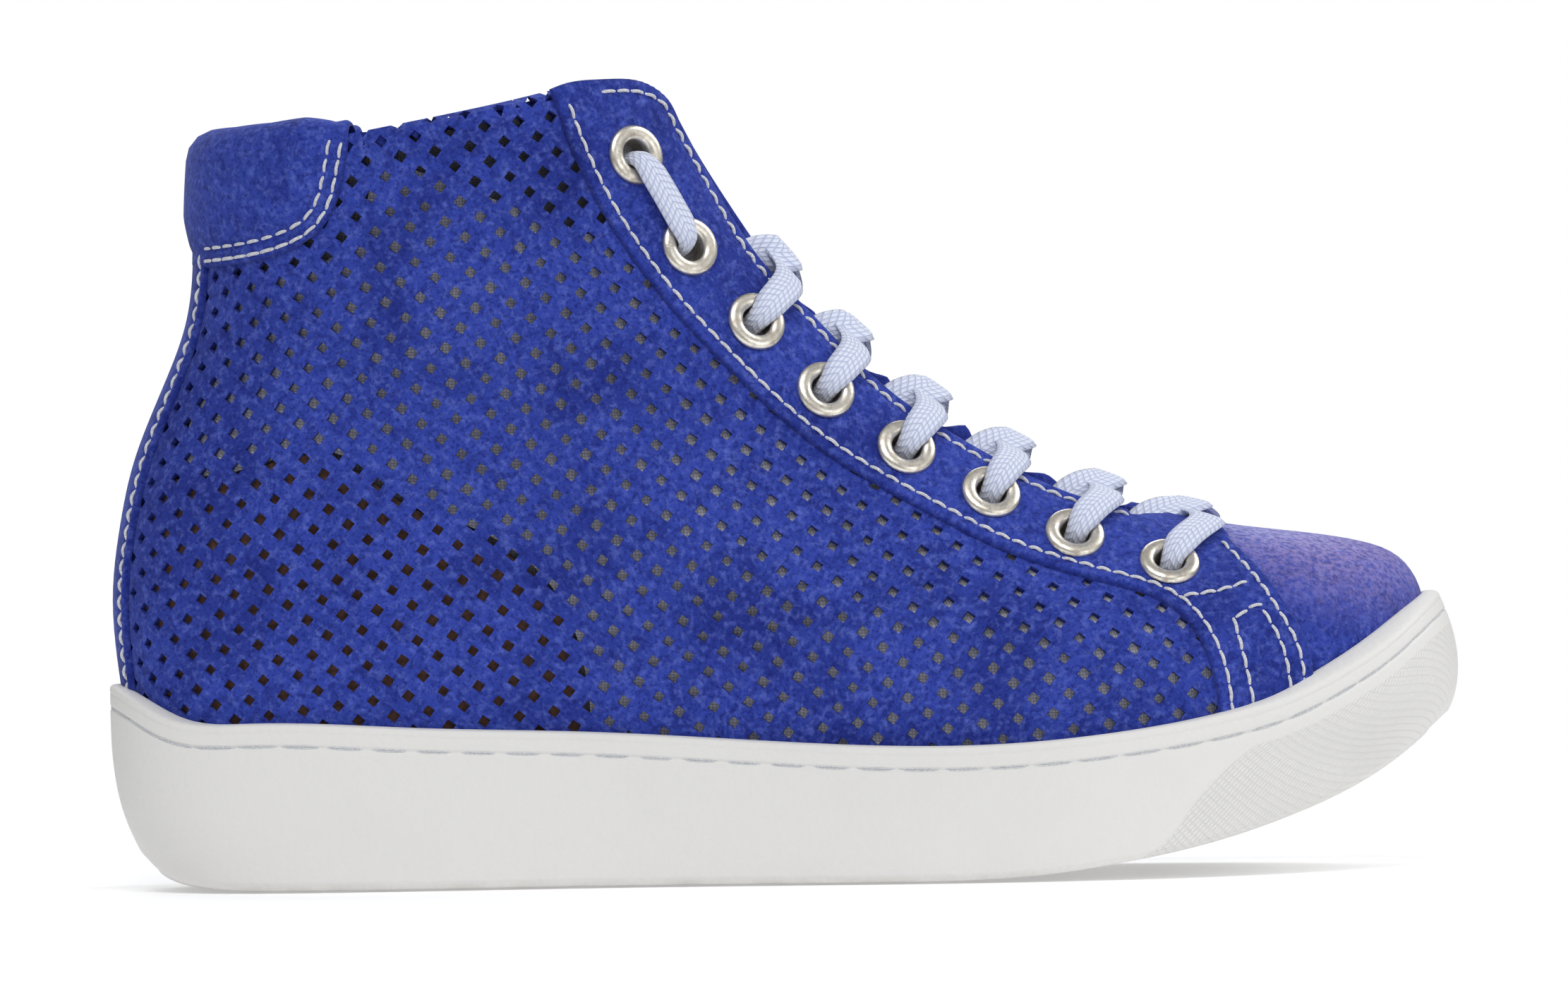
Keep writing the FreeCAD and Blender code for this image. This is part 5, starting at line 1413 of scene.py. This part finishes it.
def up_inside(first, last):
    """The lining's free edge under the facing, from one row to another."""
    rows_up = np.linspace(first, last, 70)
    return beside_ridge(rows_up, -GAPS(rows_up) - 1.2)


low_run = np.stack([np.linspace(0.0, 0.80, 110), np.full(110, 0.02)], -1)
lining_front = side_run([(214.0, 20.0), (213.0, 40.0), (212.0, 60.0), (209.0, 66.0)])
lining_top = side_run([(station, topline_height(station) - 1.0)
                       for station in (110.0, 99.0, 88.0, 71.0, 52.0, 33.0, 15.5)])
half_lining = line_uv(low_run, lining_front, up_inside(0.43, 0.86), lining_top,
                      np.array([[0.0, lining_top[-1, 1]]]), closed=False)
lining = cut_sheet("lining", line_uv(half_lining, mirror(half_lining, 0.0)[1:-1]), *LINING_LAYER,
                   rounding=0.35, net=3.0)
lining.data.materials.append(lining_cloth)

toe_back = side_run([(215.0, 26.0), (214.0, 45.0), (213.2, 60.0), (218.0, 65.0)])
half_toe_lining = line_uv(np.array([[1.0, 0.02], [0.93, 0.02], [0.80, 0.02]]), toe_back,
                          np.array([[1.0, 0.385]]), closed=False)
toe_lining = cut_sheet("toe_lining", line_uv(half_toe_lining, mirror(half_toe_lining)[1:-1]), *LINING_LAYER,
                       rounding=0.35, net=3.0)
toe_lining.data.materials.append(lining_cloth)


# %% Closed pads from rows of points
def close_rows(name, rows, smooth=True):
    """A closed skin over rings of points, capped at both ends."""
    count, columns = len(rows), len(rows[0])
    mesh = bpy.data.meshes.new(name)
    faces = [(i * columns + j, i * columns + (j + 1) % columns, (i + 1) * columns + (j + 1) % columns,
              (i + 1) * columns + j) for i in range(count - 1) for j in range(columns)]
    faces.append(tuple(reversed(range(columns))))
    faces.append(tuple((count - 1) * columns + j for j in range(columns)))
    mesh.from_pydata((np.concatenate(rows) * MM).tolist(), [], faces)
    shape = bmesh.new()
    shape.from_mesh(mesh)
    bmesh.ops.recalc_face_normals(shape, faces=shape.faces)
    shape.to_mesh(mesh)
    shape.free()
    mesh.polygons.foreach_set("use_smooth", np.full(len(mesh.polygons), smooth))
    piece = bpy.data.objects.new(name, mesh)
    bpy.context.scene.collection.objects.link(piece)
    return piece


# %% The tongue
half_tongue = curve_of([(0.36, 17.5), (0.48, 22.5), (0.66, 23.5), (0.86, 21.5)])
rows = []
for v in np.concatenate([[0.366, 0.367, 0.370], np.linspace(0.376, 0.826, 60),
                         [0.833, 0.838, 0.8415, 0.843]]):
    end = min(1.0, (v - 0.364) / 0.012, (0.8445 - v) / 0.012)
    x = np.concatenate([np.linspace(-1, 1, 40), np.linspace(1, -1, 40)[1:-1]])
    top = np.concatenate([np.ones(40), np.zeros(38)])
    u = beside_ridge(np.full(len(x), v), x * float(half_tongue(v)) * (0.93 + 0.07 * end))[:, 0]
    full = np.sqrt(np.clip(end, 0.02, 1.0)) * (1.0 - np.abs(x) ** 4) ** 0.5
    seam_line = 0.9 * np.exp(-(((np.abs(x) - 0.86) / 0.035) ** 2)) * (end > 0.9)
    crown = -9.9 + (1.0 + 5.2 * (1.0 - x**2) ** 1.5) * full - seam_line * top
    belly = -10.1 - 3.6 * full
    depth = np.where(top > 0, crown, belly)
    rows.append(skin(u, np.full(len(x), v)) + outward(u, np.full(len(x), v)) * depth[:, None])
tongue = close_rows("tongue_pad", rows)
tongue.data.materials.append(suede_body)
tongue.data.materials.append(lining_cloth)
mesh = tongue.data
middles = np.zeros(len(mesh.polygons) * 3, np.float32)
mesh.polygons.foreach_get("normal", middles)
mesh.polygons.foreach_set("material_index", (middles.reshape(-1, 3)[:, 0] < -0.1).astype(np.int32))
print("tongue:", len(mesh.polygons), "faces")

# %% The footbed
END_ROOM, SIDE_ROOM, BED_FULLNESS = 7.4, 6.6, 2.8
footbed_cloth = cloth_material("footbed_cloth", rgba(0.42, 0.42, 0.44), rgba(0.22, 0.22, 0.25), 0.0005)


def footbed_ring(inset, rise):
    """An outline of the footbed, drawn in by inset and lying rise above the bed line."""
    turn = np.linspace(0.0, 2.0, 241)[:-1]
    part = (1.0 - np.cos(np.pi * turn)) / 2.0
    start, stop = BACK_OF_BED + END_ROOM + inset, FRONT_OF_BED - END_ROOM - inset
    station = start + (stop - start) * part
    squarish = np.sin(np.pi * turn)
    squarish = squarish * np.sqrt(1.0 + BED_FULLNESS) / np.sqrt(1.0 + BED_FULLNESS * squarish * squarish)
    side = (spline_weights(WIDTH_SHARES, part) @ WIDTHS[0] - SIDE_ROOM - inset) * squarish
    height = bed_line((station - BACK_OF_BED) / (FRONT_OF_BED - BACK_OF_BED)) + rise
    return in_frame(station, swing(station) - side, height)


rows = [footbed_ring(inset, rise)
        for inset, rise in ((30.0, 2.3), (12.0, 2.3), (3.0, 2.3), (0.6, 2.4), (0.0, 3.0), (-0.1, 4.4),
                            (0.2, 5.6), (0.9, 6.1), (2.5, 5.9), (6.0, 5.5), (12.0, 5.3), (20.0, 5.25),
                            (30.0, 5.3))]
footbed = close_rows("footbed", rows)
footbed.data.materials.append(footbed_cloth)
print("footbed:", len(footbed.data.polygons), "faces")

# %% [markdown]
# ## Pieces that stay as modelled
# The stiffeners, fillers, board, shank, washers and lace tips keep the model's shapes, because they hardly
# show, but each gets its real stuff: non-woven board, cut foam, brushed steel, clear tips.

# %% Materials of the carried-over pieces
def foam_material(name, colour, shade, scale):
    material, tree, shader = start_material(name)
    where = add(tree, "ShaderNodeTexCoord").outputs["Object"]
    cells = add(tree, "ShaderNodeTexVoronoi", {"Vector": where, "Scale": scale}).outputs["Distance"]
    tone = blend_colour(tree, band(tree, cells, 0.15, 0.6), shade, colour)
    relief = add(tree, "ShaderNodeBump", {"Strength": 0.5, "Distance": 0.0004, "Height": cells})
    plug(tree, shader, {"Base Color": tone, "Roughness": 0.92, "Normal": relief.outputs[0]})
    return material


knit_backing = cloth_material("knit_backing", rgba(0.60, 0.60, 0.62), rgba(0.34, 0.34, 0.36), 0.0007,
                              bump=0.7)
counter_board = fibre_material("counter_board", rgba(0.20, 0.095, 0.050), rgba(0.085, 0.042, 0.026), 900.0,
                               sheen=0.0)
fibre_board = fibre_material("fibre_board", rgba(0.52, 0.43, 0.31), rgba(0.33, 0.26, 0.18), 700.0, sheen=0.0)
stiff_felt = fibre_material("stiff_felt", rgba(0.62, 0.61, 0.58), rgba(0.42, 0.41, 0.39), 800.0, sheen=0.0)
cut_foam = foam_material("cut_foam", rgba(0.72, 0.71, 0.66), rgba(0.42, 0.41, 0.37), 900.0)
moulded_foam = foam_material("moulded_foam", rgba(0.70, 0.69, 0.65), rgba(0.50, 0.49, 0.46), 500.0)
shank_steel = metal_material("shank_steel_brushed", rgba(0.56, 0.57, 0.58), rgba(0.34, 0.34, 0.35), 0.34,
                             200.0)
lace_tip = fibre_material("lace_tip", rgba(0.78, 0.78, 0.84), rgba(0.60, 0.60, 0.68), 500.0, rough=0.25,
                          bump=0.05, sheen=0.0)
STUFF = {knit_backing: ["quarter_backing_lateral", "quarter_backing_medial"], counter_board: ["heel_counter"],
         fibre_board: ["insole_board"],
         stiff_felt: ["eyestay_stiffener_lateral", "eyestay_stiffener_medial", "toe_puff"],
         cut_foam: ["collar_foam"], moulded_foam: ["midsole_wedge"], shank_steel: ["shank"],
         lace_tip: ["aglets"], nickel: ["eyelet_washers_lateral", "eyelet_washers_medial"]}
for material, names in STUFF.items():
    for name in names:
        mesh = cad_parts[name].data
        mesh.materials.clear()
        mesh.materials.append(material)
print("dressed", sum(len(names) for names in STUFF.values()), "pieces that stay as modelled")

# %% [markdown]
# ## Floor, light and camera
# The shoe stands on a plain pale floor under a wide soft light, the way a catalogue shows it: one large lamp
# above and in front for shape, weaker ones beside and behind it, and a white surround. A long lens looks
# square onto the outer side from ankle height, with a slight roll.

# %% The stage
bpy.ops.mesh.primitive_plane_add(size=12.0, location=(0.0, 0.0, -0.0004))
floor = bpy.context.object
floor.name = "floor"
floor_material, floor_tree, floor_shader = start_material("floor_paper")
grain = noise(floor_tree, add(floor_tree, "ShaderNodeTexCoord").outputs["Object"], 3.0, 2.0)
paper = blend_colour(floor_tree, grain, rgba(0.90, 0.90, 0.91), rgba(0.94, 0.94, 0.94))
far = add(floor_tree, "ShaderNodeVectorMath", {0: add(floor_tree, "ShaderNodeTexCoord").outputs["Object"]},
          operation="LENGTH").outputs["Value"]
plug(floor_tree, floor_shader, {"Base Color": paper, "Roughness": 0.9, "Specular IOR Level": 0.1,
                                "Emission Color": rgba(1.0, 1.0, 1.0), "Emission Strength": 0.22,
                                "Alpha": band(floor_tree, far, 0.75, 0.25)})
floor.data.materials.append(floor_material)


def lamp(name, place, target, size, power, colour=(1.0, 1.0, 1.0)):
    data = bpy.data.lights.new(name, "AREA")
    data.shape, data.size, data.size_y = "RECTANGLE", size[0], size[1]
    data.energy, data.color = power, colour
    light = bpy.data.objects.new(name, data)
    light.location = place
    light.rotation_euler = (Vector(target) - Vector(place)).to_track_quat("-Z", "Y").to_euler()
    bpy.context.scene.collection.objects.link(light)
    return light


lamp("key", (-0.15, -0.85, 1.15), (0.0, 0.0, 0.06), (0.9, 0.6), 8.6)
lamp("fill", (0.9, -0.9, 0.35), (0.02, 0.0, 0.07), (0.7, 0.7), 2.3)
lamp("toe_light", (0.75, 0.15, 0.75), (0.09, 0.0, 0.06), (0.5, 0.5), 3.4)
lamp("back", (-0.3, 0.9, 0.9), (0.0, 0.0, 0.07), (0.9, 0.6), 4.6)

world = bpy.data.worlds.new("surround")
world.use_nodes = True
sky = world.node_tree
sky.nodes.clear()
seen = add(sky, "ShaderNodeBackground", {"Color": rgba(1.0, 1.0, 1.0), "Strength": 1.0})
cast = add(sky, "ShaderNodeBackground", {"Color": rgba(0.96, 0.98, 1.0), "Strength": 0.34})
straight = add(sky, "ShaderNodeLightPath").outputs["Is Camera Ray"]
mixed = add(sky, "ShaderNodeMixShader", {0: straight, 1: cast.outputs[0], 2: seen.outputs[0]})
add(sky, "ShaderNodeOutputWorld", {"Surface": mixed.outputs[0]})
bpy.context.scene.world = world
bpy.context.scene.view_settings.view_transform = "Standard"

# %% The camera
camera_data = bpy.data.cameras.new("camera")
camera_data.lens, camera_data.sensor_width = 300.0, 36.0
camera = bpy.data.objects.new("camera", camera_data)
bpy.context.scene.collection.objects.link(camera)
SHOWN_WIDTH = 0.3188      # metres across the view, measured at the depth FOCUS_DEPTH in front of the middle
FOCUS_DEPTH, EYE_ABOVE_AIM, ROLL = 0.015, 0.027, -1.1
distance = SHOWN_WIDTH * camera_data.lens / camera_data.sensor_width
aim = Vector((0.0006, 0.0, 0.0782))
camera.location = aim + Vector((0.0, -distance - FOCUS_DEPTH, EYE_ABOVE_AIM))
camera.rotation_euler = (aim - camera.location).to_track_quat("-Z", "Y").to_euler()
camera.rotation_euler.rotate_axis("Z", math.radians(ROLL))
bpy.context.scene.camera = camera
print(f"camera {distance:.2f} m away")

# %% [markdown]
# ## What moves and what stands for what
# The tongue swings and the footbed lifts; everything else rides on the shoe. Each new piece takes the place
# of the plain solids that the model has for it.

# %% Hand the pieces over
DRESSED = [(facing, "suede", ["eyestay_lateral", "eyestay_medial"]),
           (quarters[0], "suede", ["quarter_lateral"]), (quarters[1], "suede", ["quarter_medial"]),
           (toe_piece, "suede", ["vamp"]), (heel_strip, "suede", ["backstay"]),
           (collar_patch, "suede", ["heel_collar"]), (upper_thread, "lace", []),
           (eyelets, "eyelet_metal", ["eyelets_lateral", "eyelets_medial"]), (laces, "lace", ["lace"]),
           (sole, "sole_rubber", ["cupsole"]), (sole_stitches, "lace", []),
           (lining, "lining", ["quarter_lining"]), (toe_lining, "lining", ["vamp_lining"])]
for piece, slot, nodes in DRESSED:
    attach(piece, "shoe")
    if nodes:
        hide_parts(*nodes)
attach(tongue, "tongue")
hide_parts("tongue", "tongue_foam", "tongue_lining")
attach(footbed, "sockliner")
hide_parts("sockliner")
